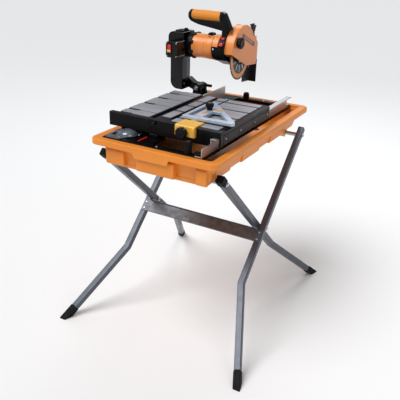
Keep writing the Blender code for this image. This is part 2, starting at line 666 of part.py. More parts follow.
def make_gearbox():
    """Black reduction housing: a hull round the motor axis and the offset blade shaft."""
    reach = math.hypot(BLADE_Y - MOTOR_Y, BLADE_Z - MOTOR_Z)
    slope = math.degrees(math.atan2(BLADE_Z - MOTOR_Z, BLADE_Y - MOTOR_Y))
    small = 0.034
    spread = math.degrees(math.acos((MOTOR_R - small) / reach))
    outline = arc((MOTOR_Y, MOTOR_Z), MOTOR_R, slope + spread, slope + 360 - spread, 14)
    outline += arc((BLADE_Y, BLADE_Z), small, slope - spread, slope + spread, 8)
    back = BLADE_X - GUARD_HALF - 2 * GAP
    box_obj = prism("gearbox", outline, 0, -0.0717, back, (BLACK, 0.35, 0.0))
    cut(box_obj, rod("shaft_bore", 0, (back, BLADE_Y, BLADE_Z), 0.022, 0.0125, steps=20))


def guard_outline(inset):
    """Side view of the guard: round over the blade, straight behind it, open below."""
    radius = GUARD_R - inset
    rear = 0.4010 - inset
    points = [(GUARD_Y - radius + 0.001, 1.0120)]
    points += arc((GUARD_Y, GUARD_Z), radius, 172, 32, 14)
    points += [(rear - 0.012, 1.0430 - inset), (rear, 1.0300 - inset), (rear, 0.9700)]
    points += [(rear - 0.008, 0.9420)]
    points += [(0.2980, 0.9500)]
    return points


def make_guard():
    back, front = BLADE_X - GUARD_HALF, BLADE_X + GUARD_HALF
    guard = prism("blade_guard", guard_outline(0.0), 0, back, front, (ORANGE, 0.38, 0.0))
    hollow = guard_outline(0.003)
    lowest = [(hollow[0][0], 0.90)]
    hollow = [(y, z) for y, z in hollow[:-2]] + [(hollow[-2][0], 0.90)] + lowest
    cut(guard, prism("guard_hollow", hollow, 0, back + GUARD_WALL, front - GUARD_WALL))
    low = (BLADE_X - 0.012, 0.3690, 1.0380)
    fuse(guard, box("fitting_pad", low, (BLADE_X + 0.012, 0.3970, PAD_TOP)))
    cut(guard, rod("guard_shaft_hole", 0, (back, BLADE_Y, BLADE_Z), 0.006, 0.0200, steps=20))
    cut(guard, rod("guard_knob_hole", 0, (front, 0.206, 1.0520), 0.006, 0.0043, steps=16))
    centre = (0, 0.206, 1.0520)
    stem = front + GAP
    profile = [(front - 0.0045, 0.0040), (stem, 0.0040), (stem, 0.0130), (stem + 0.004, 0.0130),
               (stem + 0.004, 0.0215), (stem + 0.018, 0.0215), (stem + 0.021, 0.0185)]
    knob = turned("guard_knob", profile, 0, centre, (BLACK, 0.4, 0.0), 22)
    set_origin(knob, (stem, *centre[1:]))


def make_blade():
    centre = (0, BLADE_Y, BLADE_Z)
    back = BLADE_X - GUARD_HALF
    steel = ((0.5, 0.5, 0.52), 0.3, 1.0)
    seat = BLADE_X - BLADE_HALF - GAP
    shaft = [(back - 0.018, 0.0080), (back + GAP, 0.0080), (back + GAP, 0.0190), (seat, 0.0190),
             (seat, 0.0078), (BLADE_X + 0.0085, 0.0078)]
    arbor = turned("arbor_shaft", shaft, 0, centre, steel, 20)
    hub = (BLADE_X, BLADE_Y, BLADE_Z)
    disc = ((0.78, 0.30, 0.05), 0.35, 0.5)
    blade = rod("saw_blade", 0, hub, BLADE_HALF, BLADE_R, disc, 48)
    cut(blade, rod("blade_bore", 0, hub, 0.01, 0.0081, steps=20))
    nut = [(BLADE_X + BLADE_HALF + GAP, 0.0190), (BLADE_X + 0.0050, 0.0190),
           (BLADE_X + 0.0050, 0.0110), (BLADE_X + 0.0120, 0.0110)]
    flange = turned("arbor_nut", nut, 0, centre, steel, 20)
    cut(flange, rod("nut_bore", 0, hub, 0.03, 0.0081, steps=20))
    for obj in (arbor, blade, flange):
        set_origin(obj, hub)


def make_splash_flap():
    """Rubber flap behind the blade, with its left side wall in one moulding."""
    back, front = BLADE_X - GUARD_HALF, BLADE_X + GUARD_HALF
    pivot = (BLADE_X, 0.4030, 0.9615)
    low = 0.8640
    flap = box("splash_flap", (back, 0.4013, low), (front, 0.4048, 0.9620), (BLACK, 0.75, 0.0))
    side = [(0.4030, 0.9390), (0.4030, low + 0.002), (0.3280, low + 0.008), (0.3280, 0.9390)]
    fuse(flap, prism("flap_side", side, 0, back + 0.0033, back + 0.0063))
    set_origin(flap, pivot)


def make_handle():
    """Grip across the top with a web below it that runs down to the gearbox."""
    black = (BLACK, 0.5, 0.0)
    y0, y1 = 0.1800, 0.2060
    outline = [(-0.1835, 1.1262), (-0.1835, 1.1620), (-0.1920, 1.1600), (-0.1990, 1.1500),
               (-0.1990, 1.1350), (-0.1900, 1.1230), (-0.1720, 1.1160), (-0.1500, 1.1100),
               (-0.0470, 1.0950), (-0.0470, 1.0650), (-0.0235, 1.0650), (-0.0235, 1.0980),
               (-0.0090, 1.1000), (-0.0240, 1.1300), (-0.0400, 1.1600), (-0.0500, 1.1640),
               (-0.0580, 1.1640), (-0.0580, 1.1262)]
    web = prism("handle_frame", outline, 1, y0, y1, black)
    cut(web, rod("web_seat", 0, (-0.045, MOTOR_Y, MOTOR_Z), 0.06, MOTOR_R + 0.0013, steps=32))
    grip = [(-0.1832, 0.0170), (-0.1800, 0.0185), (-0.1100, 0.0195), (-0.0640, 0.0190),
            (-0.0583, 0.0175)]
    turned("handle_grip", grip, 0, (0, 0.1930, 1.1460), (ORANGE, 0.6, 0.0), 24)


def make_head_knobs():
    centre = (KNOB_X, 0, KNOB_Z)
    rear = COL_Y1 + WALL
    profile = [(rear - 0.0065, 0.0040), (rear + GAP, 0.0040), (rear + GAP, 0.0110), (rear + 0.008, 0.0110),
               (rear + 0.008, 0.0200), (rear + 0.022, 0.0200), (rear + 0.025, 0.0170)]
    knob = turned("height_knob", profile, 1, centre, (BLACK, 0.4, 0.0), 22)
    set_origin(knob, (centre[0], rear, centre[2]))


def make_water_valve():
    x = BLADE_X
    low = PAD_TOP + GAP
    body = [(low, 0.0075), (low + 0.030, 0.0075), (low + 0.030, 0.0110), (low + 0.044, 0.0110)]
    turned("water_fitting", body, 2, (x, 0.3830, 0), ((0.04, 0.06, 0.09), 0.35, 0.0), 16)
    top = body[-1][0]
    lever_low = (x - 0.004, 0.3570, top + 0.0005)
    lever = box("valve_lever", lever_low, (x + 0.004, 0.3890, top + 0.0065), (BLACK, 0.4, 0.0), 0.001)
    set_origin(lever, (x, 0.3830, lever_low[2]))


clear_scene()
make_stand()
make_tray()
make_support_frame()
make_rails()
make_tray_fittings()
make_side_table()
make_carriage()
make_carriage_lock()
make_guide()
make_gauge()
make_tilt_base()
make_column()
make_tilt_lock()
make_head_bracket()
make_switch_box()
make_motor()
make_gearbox()
make_guard()
make_blade()
make_splash_flap()
make_handle()
make_head_knobs()
make_water_valve()
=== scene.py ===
"""Looks of the wet tile saw on its folding stand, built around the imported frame.

Metres, +Z up, in the frame's own axes: +X to the operator's right, +Y to the rear.
"""
import json
import math

import bmesh
import bpy
from mathutils import Matrix, Vector


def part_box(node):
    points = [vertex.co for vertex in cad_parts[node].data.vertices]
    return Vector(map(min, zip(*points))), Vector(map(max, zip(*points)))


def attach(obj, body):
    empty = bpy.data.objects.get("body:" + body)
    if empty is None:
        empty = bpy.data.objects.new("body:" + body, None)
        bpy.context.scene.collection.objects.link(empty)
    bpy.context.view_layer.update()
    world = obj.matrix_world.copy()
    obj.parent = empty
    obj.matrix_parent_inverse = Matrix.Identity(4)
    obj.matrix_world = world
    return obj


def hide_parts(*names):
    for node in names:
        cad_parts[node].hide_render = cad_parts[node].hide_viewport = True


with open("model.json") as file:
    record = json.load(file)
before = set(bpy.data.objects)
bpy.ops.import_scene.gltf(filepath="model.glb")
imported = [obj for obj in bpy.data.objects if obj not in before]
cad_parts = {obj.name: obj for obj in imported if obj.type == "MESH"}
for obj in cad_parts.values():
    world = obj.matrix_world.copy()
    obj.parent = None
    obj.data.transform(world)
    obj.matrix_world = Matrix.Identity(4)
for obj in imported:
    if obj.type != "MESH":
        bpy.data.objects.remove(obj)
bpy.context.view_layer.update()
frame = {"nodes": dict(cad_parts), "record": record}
GROUPS = frame["record"]["behaviour"]["bodies"]
BODY_OF = {node: body for body, nodes in GROUPS.items() for node in nodes}
LOOKS = {}


def corners(node):
    low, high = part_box(node)
    return Vector(low), Vector(high)


def middle(node):
    low, high = corners(node)
    return (low + high) / 2


# ---------------------------------------------------------------- materials

def look(name, color, rough, metal=0.0, vary=0.10, blotch=9.0, grain=0.0, grain_scale=700.0,
         stretch=(1.0, 1.0, 1.0), wear=0.0, wear_color=(0.5, 0.5, 0.5), coat=0.0, rough_vary=0.08,
         spec=0.5):
    """Principled material with blotchy colour, varied roughness, fine bump and worn edges."""
    mat = bpy.data.materials.new(name)
    mat.use_nodes = True
    tree = mat.node_tree
    nodes, links = tree.nodes, tree.links
    shader = nodes["Principled BSDF"]
    shader.inputs["Metallic"].default_value = metal
    shader.inputs["Coat Weight"].default_value = coat
    shader.inputs["Specular IOR Level"].default_value = spec
    shader.inputs["Coat Roughness"].default_value = 0.15
    coords = nodes.new("ShaderNodeTexCoord")
    mapping = nodes.new("ShaderNodeMapping")
    mapping.inputs["Scale"].default_value = stretch
    links.new(coords.outputs["Object"], mapping.inputs["Vector"])

    def noise(scale, detail):
        node = nodes.new("ShaderNodeTexNoise")
        node.inputs["Scale"].default_value = scale
        node.inputs["Detail"].default_value = detail
        links.new(mapping.outputs["Vector"], node.inputs["Vector"])
        return node

    def spread(source, low, high):
        node = nodes.new("ShaderNodeMapRange")
        node.inputs["From Min"].default_value = 0.3
        node.inputs["From Max"].default_value = 0.7
        node.inputs["To Min"].default_value = low
        node.inputs["To Max"].default_value = high
        links.new(source, node.inputs["Value"])
        return node.outputs["Result"]

    broad = noise(blotch, 4.0)
    ramp = nodes.new("ShaderNodeValToRGB")
    for stop, place, factor in zip(ramp.color_ramp.elements, (0.3, 0.7), (1.0 - vary, 1.0 + vary)):
        stop.position = place
        stop.color = (*[min(1.0, c * factor) for c in color], 1.0)
    links.new(broad.outputs["Fac"], ramp.inputs["Fac"])
    color_out = ramp.outputs["Color"]
    fine = noise(grain_scale, 2.0)
    if wear > 0.0:
        geometry = nodes.new("ShaderNodeNewGeometry")
        edge = nodes.new("ShaderNodeMapRange")
        edge.inputs["From Min"].default_value = 0.53
        edge.inputs["From Max"].default_value = 0.62
        edge.inputs["To Max"].default_value = wear
        links.new(geometry.outputs["Pointiness"], edge.inputs["Value"])
        patch = nodes.new("ShaderNodeMath")
        patch.operation = "MULTIPLY"
        links.new(edge.outputs["Result"], patch.inputs[0])
        links.new(spread(noise(60.0, 3.0).outputs["Fac"], 0.2, 1.0), patch.inputs[1])
        mix = nodes.new("ShaderNodeMix")
        mix.data_type = "RGBA"
        mix.inputs[7].default_value = (*wear_color, 1.0)
        links.new(patch.outputs[0], mix.inputs[0])
        links.new(color_out, mix.inputs[6])
        color_out = mix.outputs[2]
    links.new(color_out, shader.inputs["Base Color"])
    rough_low = max(0.04, rough - rough_vary)
    links.new(spread(noise(blotch * 4, 3.0).outputs["Fac"], rough_low, rough + rough_vary),
              shader.inputs["Roughness"])
    if grain > 0.0:
        bump = nodes.new("ShaderNodeBump")
        bump.inputs["Strength"].default_value = grain
        bump.inputs["Distance"].default_value = 0.0004
        links.new(fine.outputs["Fac"], bump.inputs["Height"])
        links.new(bump.outputs["Normal"], shader.inputs["Normal"])
    LOOKS[name] = mat
    return mat


def make_looks():
    look("tray_plastic", (0.79, 0.245, 0.020), 0.42, vary=0.07, grain=0.25, wear=0.25,
         wear_color=(0.95, 0.48, 0.12))
    look("housing_plastic", (0.84, 0.27, 0.058), 0.36, vary=0.06, grain=0.15, wear=0.2,
         wear_color=(0.98, 0.55, 0.25), coat=0.15)
    look("grip_rubber", (0.78, 0.27, 0.025), 0.62, vary=0.08, grain=0.6, grain_scale=450.0)
    look("black_plastic", (0.0036, 0.0037, 0.0046), 0.34, vary=0.25, grain=0.30, wear=0.25,
         wear_color=(0.030, 0.030, 0.034), spec=0.14)
    look("black_gloss", (0.0028, 0.0028, 0.0034), 0.20, vary=0.2, grain=0.06, wear=0.25,
         wear_color=(0.03, 0.03, 0.04), coat=0.05, spec=0.20)
    look("black_coat", (0.0030, 0.0030, 0.0036), 0.34, vary=0.25, grain=0.40, grain_scale=520.0, wear=0.4,
         wear_color=(0.06, 0.06, 0.068), spec=0.12)
    look("black_rubber", (0.0050, 0.0050, 0.0058), 0.62, vary=0.25, grain=0.6, grain_scale=350.0, spec=0.14)
    look("flap_rubber", (0.018, 0.018, 0.020), 0.55, vary=0.15, grain=0.5, grain_scale=300.0, spec=0.2)
    look("leg_coat", (0.068, 0.078, 0.100), 0.33, metal=0.35, vary=0.05, blotch=8.0, grain=0.10,
         wear=0.30, wear_color=(0.30, 0.32, 0.36), rough_vary=0.05)
    look("plate_coat", (0.085, 0.086, 0.102), 0.40, metal=0.3, vary=0.10, grain=0.12, wear=0.5,
         wear_color=(0.45, 0.46, 0.50))
    look("rail_steel", (0.50, 0.49, 0.50), 0.36, metal=0.85, vary=0.14, grain=0.3, grain_scale=160.0,
         stretch=(1.0, 0.05, 1.0), wear=0.4, wear_color=(0.85, 0.85, 0.87))
    look("bolt_steel", (0.55, 0.60, 0.68), 0.26, metal=1.0, vary=0.15, blotch=60.0, grain=0.2)
    look("rod_steel", (0.45, 0.46, 0.50), 0.3, metal=0.95, vary=0.12, grain=0.25, grain_scale=200.0,
         stretch=(0.05, 1.0, 1.0))
    look("gauge_metal", (0.47, 0.55, 0.67), 0.38, metal=0.35, vary=0.10, blotch=20.0, grain=0.2,
         wear=0.5, wear_color=(0.85, 0.90, 0.96))
    look("pad_grey", (0.27, 0.27, 0.305), 0.48, vary=0.14, blotch=16.0, grain=0.4, grain_scale=260.0,
         stretch=(0.12, 1.0, 1.0), wear=0.35, wear_color=(0.55, 0.54, 0.56))
    look("roller_bronze", (0.28, 0.14, 0.06), 0.4, metal=0.3, vary=0.2, blotch=80.0, grain=0.2)
    look("clamp_yellow", (0.90, 0.44, 0.022), 0.34, vary=0.06, grain=0.15, wear=0.3,
         wear_color=(1.0, 0.68, 0.18), coat=0.2)
    look("pointer_orange", (0.90, 0.36, 0.01), 0.35, vary=0.05, grain=0.1)
    look("switch_red", (0.75, 0.012, 0.012), 0.3, vary=0.06, grain=0.1, coat=0.3)
    look("switch_cream", (0.75, 0.52, 0.16), 0.35, vary=0.06, grain=0.1)
    look("pump_shell", (0.20, 0.22, 0.26), 0.24, metal=0.5, vary=0.18, blotch=40.0, grain=0.05, coat=0.4)
    look("pump_plate", (0.15, 0.16, 0.19), 0.38, metal=0.2, vary=0.15, blotch=22.0, grain=0.2)
    look("fitting_blue", (0.022, 0.032, 0.050), 0.30, vary=0.15, grain=0.1, spec=0.35)
    look("label_dark", (0.06, 0.075, 0.10), 0.3, vary=0.1, grain=0.05)
    look("label_tan", (0.50, 0.17, 0.07), 0.4, vary=0.1, grain=0.05)
    look("blade_dark", (0.018, 0.018, 0.021), 0.3, metal=0.6, vary=0.3, blotch=60.0, grain=0.3)
    look("blade_orange", (0.72, 0.25, 0.045), 0.3, metal=0.25, vary=0.12, blotch=40.0, grain=0.2,
         wear=0.3, wear_color=(0.9, 0.5, 0.2))
    look("blade_rim", (0.10, 0.095, 0.09), 0.5, metal=0.6, vary=0.3, blotch=200.0, grain=0.8,
         grain_scale=900.0)


# ---------------------------------------------------------------- mesh helpers

def piece(name, bm, mat, body, node=None, angle=38.0):
    """A bmesh becomes a smooth-shaded piece that rides on a body."""
    bmesh.ops.recalc_face_normals(bm, faces=bm.faces)
    mesh = bpy.data.meshes.new(name)
    bm.to_mesh(mesh)
    bm.free()
    mesh.shade_smooth()
    mesh.set_sharp_from_angle(angle=math.radians(angle))
    mesh.materials.append(LOOKS[mat])
    obj = bpy.data.objects.new(name, mesh)
    bpy.context.scene.collection.objects.link(obj)
    weighted = obj.modifiers.new("weighted_normals", "WEIGHTED_NORMAL")
    weighted.keep_sharp = True
    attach(obj, body)
    if node is not None:
        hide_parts(node)
    return obj


def with_node(name, bm, mat, node, replace=True, angle=38.0):
    """A piece on a node's own body, standing for the node unless told otherwise."""
    return piece(name, bm, mat, BODY_OF[node], node if replace else None, angle)


def trim(name, parts, mat, node):
    """An added shape or list of shapes on a node's body, in the material that is named."""
    shapes = join_bm(*parts) if isinstance(parts, list) else parts
    return piece(name, shapes, mat, BODY_OF[node])


def bevel(bm, width, segments=2, longer=0.0, sharp=25.0):
    """Round the sharp edges that are longer than a limit."""
    edges = []
    for edge in bm.edges:
        if len(edge.link_faces) == 2 and edge.calc_length() > longer:
            if edge.calc_face_angle(0.0) > math.radians(sharp):
                edges.append(edge)
    bmesh.ops.bevel(bm, geom=edges, offset=width, segments=segments, profile=0.5,
                    affect="EDGES", clamp_overlap=True)
    return bm


def refined(node, mat, width=0.0008, segments=2, longer=0.0, drop=0.0):
    """The frame's own shape with rounded edges; drop lets its top face down, for pads to stand on."""
    bm = bmesh.new()
    bm.from_mesh(frame["nodes"][node].data)
    bmesh.ops.remove_doubles(bm, verts=bm.verts, dist=1e-6)
    if drop > 0.0:
        top = corners(node)[1].z
        for vert in bm.verts:
            if vert.co.z > top - 0.0005:
                vert.co.z -= drop
    bmesh.ops.dissolve_limit(bm, angle_limit=math.radians(0.8), verts=bm.verts, edges=bm.edges)
    bevel(bm, width, segments, longer)
    return with_node(node + "_body", bm, mat, node)


def skin(bm, rings, loop=False):
    """Faces between neighbouring rings of points; a loop also joins the last ring to the first."""
    following = rings[1:] + rings[:1] if loop else rings[1:]
    for one, two in zip(rings, following):
        for i in range(len(one)):
            j = (i + 1) % len(one)
            bm.faces.new((one[i], one[j], two[j], two[i]))


def box_bm(low, high, width=0.0, segments=2):
    bm = bmesh.new()
    bmesh.ops.create_cube(bm, size=1.0)
    bmesh.ops.scale(bm, vec=[b - a for a, b in zip(low, high)], verts=bm.verts)
    bmesh.ops.translate(bm, vec=[(a + b) / 2 for a, b in zip(low, high)], verts=bm.verts)
    if width > 0.0:
        bevel(bm, width, segments)
    return bm


def prism_bm(outline, axis, low, high, width=0.0, segments=2):
    """Extrude an outline of the other two coordinates along a world axis."""
    bm = bmesh.new()
    rings = []
    for depth in (low, high):
        ring = []
        for a, b in outline:
            co = [a, b]
            co.insert(axis, depth)
            ring.append(bm.verts.new(co))
        rings.append(ring)
    bm.faces.new(rings[0])
    bm.faces.new(rings[1])
    skin(bm, rings)
    bmesh.ops.recalc_face_normals(bm, faces=bm.faces)
    if width > 0.0:
        bevel(bm, width, segments)
    return bm


def lathe_bm(profile, axis, centre, steps=48, flute=None):
    """Revolve (position, radius) rows; flute, (count, depth), grooves the rows marked True."""
    bm = bmesh.new()
    rings = []
    for row in profile:
        along, radius = row[0], row[1]
        ring = []
        for i in range(steps):
            turn = math.tau * i / steps
            r = radius
            if flute and len(row) > 2 and row[2]:
                r -= flute[1] * (0.5 - 0.5 * math.cos(turn * flute[0])) ** 2
            co = [r * math.cos(turn), r * math.sin(turn)]
            co.insert(axis, along)
            ring.append(bm.verts.new(Vector(co) + Vector(centre)))
        rings.append(ring)
    skin(bm, rings)
    bm.faces.new(rings[0])
    bm.faces.new(rings[-1])
    return bm


def turned(node, axis, rows, steps=48, flute=None):
    """Lathe rows about a line along an axis through the middle of a node."""
    centre = list(middle(node))
    centre[axis] = 0.0
    return lathe_bm(rows, axis, centre, steps, flute)


def around(centre, radius, turn):
    """The point of a circle at an angle in radians."""
    return centre[0] + radius * math.cos(turn), centre[1] + radius * math.sin(turn)


def arc(centre, radius, start, end, steps):
    """Points along part of a circle, from one angle in degrees to another."""
    turns = [math.radians(start + (end - start) * i / steps) for i in range(steps + 1)]
    return [around(centre, radius, turn) for turn in turns]


def rounded(half_a, half_b, radius, centre=(0.0, 0.0), steps=6):
    points = []
    for k, (sa, sb) in enumerate(((1, 1), (-1, 1), (-1, -1), (1, -1))):
        corner = (centre[0] + sa * (half_a - radius), centre[1] + sb * (half_b - radius))
        points += arc(corner, radius, 90 * k, 90 * k + 90, steps)
    return points


def join_bm(*parts):
    """Several separate shapes as one mesh."""
    whole = bmesh.new()
    for part in parts:
        mesh = bpy.data.meshes.new("part")
        part.to_mesh(mesh)
        part.free()
        whole.from_mesh(mesh)
        bpy.data.meshes.remove(mesh)
    return whole


def placed(bm, origin, x_axis, z_axis):
    """Turn a shape made about the world origin so that its own Z and X point along given directions."""
    z = Vector(z_axis).normalized()
    x = Vector(x_axis)
    x = (x - z * x.dot(z)).normalized()
    turn = Matrix((x, z.cross(x), z)).transposed()
    bm.transform(Matrix.Translation(origin) @ turn.to_4x4())
    return bm


def bolt_bm(centre, direction, radius, height, sides=6):
    """Hexagon head on a washer, standing on a surface; direction points away from it."""
    washer = lathe_bm([(0.0, radius * 1.35), (height * 0.25, radius * 1.35), (height * 0.3, radius * 1.25)],
                      2, (0, 0, 0), 28)
    head = lathe_bm([(height * 0.3, radius), (height * 0.9, radius), (height, radius * 0.86)],
                    2, (0, 0, 0), sides)
    across = Vector((0, 0, 1)) if abs(Vector(direction).z) < 0.9 else Vector((1, 0, 0))
    return placed(join_bm(washer, head), centre, across, direction)


def screw_bm(centre, direction, radius, height):
    """Domed screw head; direction points away from the surface."""
    rows = [(0.0, radius), (height * 0.4, radius), (height * 0.8, radius * 0.75), (height, radius * 0.35)]
    head = lathe_bm(rows, 2, (0, 0, 0), 20)
    across = Vector((0, 0, 1)) if abs(Vector(direction).z) < 0.9 else Vector((1, 0, 0))
    return placed(head, centre, across, direction)


def fasten(name, node, spots, direction, radius, height, make=screw_bm):
    """Equal screw or bolt heads on a node, one at each spot."""
    heads = [make(Vector(spot), direction, radius, height) for spot in spots]
    trim(name, heads, "bolt_steel", node)


# ---------------------------------------------------------------- stand

LEG_ANGLE = math.radians(42.7)
LEG_SIDE = 0.025
LEG_INNER_X = {"outer": 0.2632, "inner": 0.2340}  # where the middle of each kind of leg stands
CAP_LENGTH = 0.030
CAP_PROUD = 0.0016


def make_stand():
    for side, word in ((-1, "left"), (1, "right")):
        for kind in ("outer", "inner"):
            refined("%s_leg_%s" % (kind, word), "leg_coat", 0.0032, 3, longer=0.02)
            refined("%s_foot_%s" % (kind, word), "black_rubber", 0.0022, 2, longer=0.004)
        make_leg_cap("inner", word)
        make_pivot_bolt(side, word)
    refined("cross_plate", "plate_coat", 0.0008, 2)
    make_plate_folds()
    for node in ("rear_rod", "front_rod"):
        low, high = corners(node)
        radius = (high.z - low.z) / 2
        rows = [(low.x, radius - 0.001), (low.x + 0.001, radius), (high.x - 0.001, radius),
                (high.x, radius - 0.001)]
        with_node(node + "_bar", turned(node, 0, rows, 40), "rod_steel", node)
    make_rod_bolts()


def leg_top(kind, word):
    """Middle of a leg's top end and the leg's upward direction."""
    low, high = corners("%s_leg_%s" % (kind, word))
    lean = 1 if kind == "outer" else -1
    up = Vector((0, lean * math.cos(LEG_ANGLE), math.sin(LEG_ANGLE)))
    normal = Vector((0, -lean * math.sin(LEG_ANGLE), math.cos(LEG_ANGLE)))
    side = -1 if word == "left" else 1
    inner_x = LEG_INNER_X[kind]
    top = Vector((side * inner_x, 0, 0))
    half = LEG_SIDE / 2
    reach_z = high.z - half * normal.z
    top.z = reach_z
    reach_y = (high.y if lean > 0 else low.y) - lean * half * abs(normal.y)
    top.y = reach_y
    return top, up


def make_leg_cap(kind, word):
    """Black end sleeve pushed over the top of a leg."""
    top, up = leg_top(kind, word)
    half = LEG_SIDE / 2
    rows = []
    for along, extra in ((-CAP_LENGTH, CAP_PROUD), (0.0005, CAP_PROUD), (0.003, 0.0)):
        rows.append((along, [(a, b) for a, b in rounded(half + extra, half + extra, 0.0036, steps=4)]))
    bm = bmesh.new()
    rings = [[bm.verts.new((a, b, z)) for a, b in outline] for z, outline in rows]
    bore = rounded(half + 0.0002, half + 0.0002, 0.0031, steps=4)
    inner = [bm.verts.new((a, b, -CAP_LENGTH)) for a, b in bore]
    deep = [bm.verts.new((a, b, -0.0002)) for a, b in bore]
    order = [deep, inner] + rings
    skin(bm, order)
    bm.faces.new(order[-1])
    bm.faces.new(deep)
    placed(bm, top, (1, 0, 0), up)
    leg = "%s_leg_%s" % (kind, word)
    trim("%s_leg_cap_%s" % (kind, word), bm, "black_rubber", leg)


def make_pivot_bolt(side, word):
    node = "pivot_bolt_" + word
    low, high = corners(node)
    mid = middle(node)
    ends = (low.x, high.x)
    outer = max(ends, key=abs)
    inner = min(ends, key=abs)
    shank = turned(node, 0, [(outer, 0.0039), (inner, 0.0039)], 24)
    seat = outer - side * 0.005
    head = bolt_bm(Vector((seat, mid.y, mid.z)), (side, 0, 0), 0.0078, 0.0062)
    nut = bolt_bm(Vector((inner + side * 0.006, mid.y, mid.z)), (-side, 0, 0), 0.0072, 0.0060)
    with_node(node + "_set", join_bm(shank, head, nut), "bolt_steel", node)


def make_plate_folds():
    """Folded lips along the cross plate's long edges, and its fixing screws."""
    low, high = corners("cross_plate")
    lean = Vector((0, math.cos(LEG_ANGLE), math.sin(LEG_ANGLE)))
    out = Vector((0, -math.sin(LEG_ANGLE), math.cos(LEG_ANGLE)))
    centre = middle("cross_plate")
    width = high.x - low.x
    half_height = 0.0257
    for sign, word in ((1, "top"), (-1, "bottom")):
        lip = box_bm((-width / 2 + 0.030, -0.0045, -0.0012), (width / 2 - 0.030, 0.0035, 0.0012), 0.0008)
        placed(lip, centre + lean * sign * (half_height - 0.0012) + out * 0.004, (1, 0, 0), lean)
        trim("cross_plate_lip_" + word, lip, "plate_coat", "cross_plate")
    heads = []
    for x in (low.x + 0.012, high.x - 0.012):
        for along in (-0.014, 0.014):
            spot = Vector((x, centre.y, centre.z)) + lean * along + out * 0.0014
            heads.append(screw_bm(spot, out, 0.0042, 0.0022))
    trim("cross_plate_screws", heads, "bolt_steel", "cross_plate")


def make_rod_bolts():
    """Hexagon nuts where the two cross rods come through the legs."""
    for node, kind in (("rear_rod", "outer"), ("front_rod", "inner")):
        mid = middle(node)
        nuts = []
        for side in (-1, 1):
            face = side * (LEG_INNER_X[kind] + LEG_SIDE / 2 + CAP_PROUD)
            nuts.append(bolt_bm(Vector((face, mid.y, mid.z)), (side, 0, 0), 0.0062, 0.0055))
        trim(node + "_nuts", nuts, "bolt_steel", node)


# ---------------------------------------------------------------- tray

APRON_X = (-0.0711, -0.0594, 0.0666, 0.0741)   # where the deeper front apron starts and ends
APRON_DROP = 0.0185
TRAY_BOTTOM = 0.7045
TRAY_FLOOR = 0.7085
BLOCKS = (                                      # x range, depth out of the front wall, bottom
    (-0.1920, -0.1170, 0.0050, 0.6965),
    (-0.0600, 0.0867, 0.0120, 0.6965),
    (0.1670, 0.2060, 0.0060, 0.6950),
)
SIDE_BLOCKS = ((-0.330, -0.215), (-0.120, 0.030), (0.130, 0.270))   # Y ranges, on both side walls
REAR_BLOCKS = ((-0.160, -0.050), (0.050, 0.160))                    # X ranges, on the rear wall
HOOK_X = (0.172, 0.203)
HOOK_RADIUS = 0.018
HOOK_TOP = 0.7060


def tray_ring(half_x, half_y, radius, centre, z, stops):
    """Rounded rectangle with extra points along the front side."""
    points = [(x, y, z) for x, y in rounded(half_x, half_y, radius, centre, steps=9)]
    last_front = 3 * 10 - 1
    front_y = centre[1] - half_y
    extra = [(x, front_y, z) for x in stops]
    return points[:last_front + 1] + extra + points[last_front + 1:]


def make_tray():
    low, high = corners("tray")
    frame_low = corners("support_frame")[0]
    centre = ((low.x + high.x) / 2, (low.y + high.y) / 2)
    half_x, half_y = (high.x - low.x) / 2, (high.y - low.y) / 2
    top = high.z
    rim = top - 0.0215
    ledge = frame_low.z - 0.0003
    rows = [
        (half_x - 0.0465, half_y - 0.0385, 0.022, TRAY_BOTTOM, 0.0),
        (half_x - 0.0305, half_y - 0.0235, 0.024, rim + 0.003, 0.0),
        (half_x - 0.0042, half_y - 0.0042, 0.026, rim + 0.003, 1.0),
        (half_x - 0.0040, half_y - 0.0040, 0.026, rim + 0.0005, 1.0),
        (half_x - 0.0010, half_y - 0.0010, 0.030, rim, 1.0),
        (half_x, half_y, 0.030, rim + 0.0015, 1.0),
        (half_x, half_y, 0.030, top - 0.0060, 0.0),
        (half_x - 0.0012, half_y - 0.0012, 0.029, top - 0.0025, 0.0),
        (half_x - 0.0040, half_y - 0.0040, 0.026, top - 0.0004, 0.0),
        (half_x - 0.0070, half_y - 0.0070, 0.023, top, 0.0),
        (half_x - 0.0310, half_y - 0.0270, 0.012, top, 0.0),
        (half_x - 0.0325, half_y - 0.0285, 0.010, top - 0.0010, 0.0),
        (half_x - 0.0335, half_y - 0.0295, 0.010, ledge, 0.0),
        (half_x - 0.0445, half_y - 0.0410, 0.008, ledge, 0.0),
        (half_x - 0.0450, half_y - 0.0420, 0.008, ledge - 0.0015, 0.0),
        (half_x - 0.0535, half_y - 0.0495, 0.008, TRAY_FLOOR, 0.0),
    ]
    bm = bmesh.new()
    rings = []
    for hx, hy, radius, z, drop in rows:
        ring = []
        for x, y, height in tray_ring(hx, hy, radius, centre, z, APRON_X):
            if drop and y < centre[1] - hy + 0.001 and APRON_X[1] - 1e-4 <= x <= APRON_X[2] + 1e-4:
                height -= APRON_DROP * drop
            ring.append(bm.verts.new((x, y, height)))
        rings.append(ring)
    skin(bm, rings)
    bm.faces.new(rings[0])
    bm.faces.new(rings[-1])
    with_node("tray_shell", bm, "tray_plastic", "tray", angle=32.0)
    make_tray_blocks(centre, half_x, half_y, rim)
    make_tray_underside()


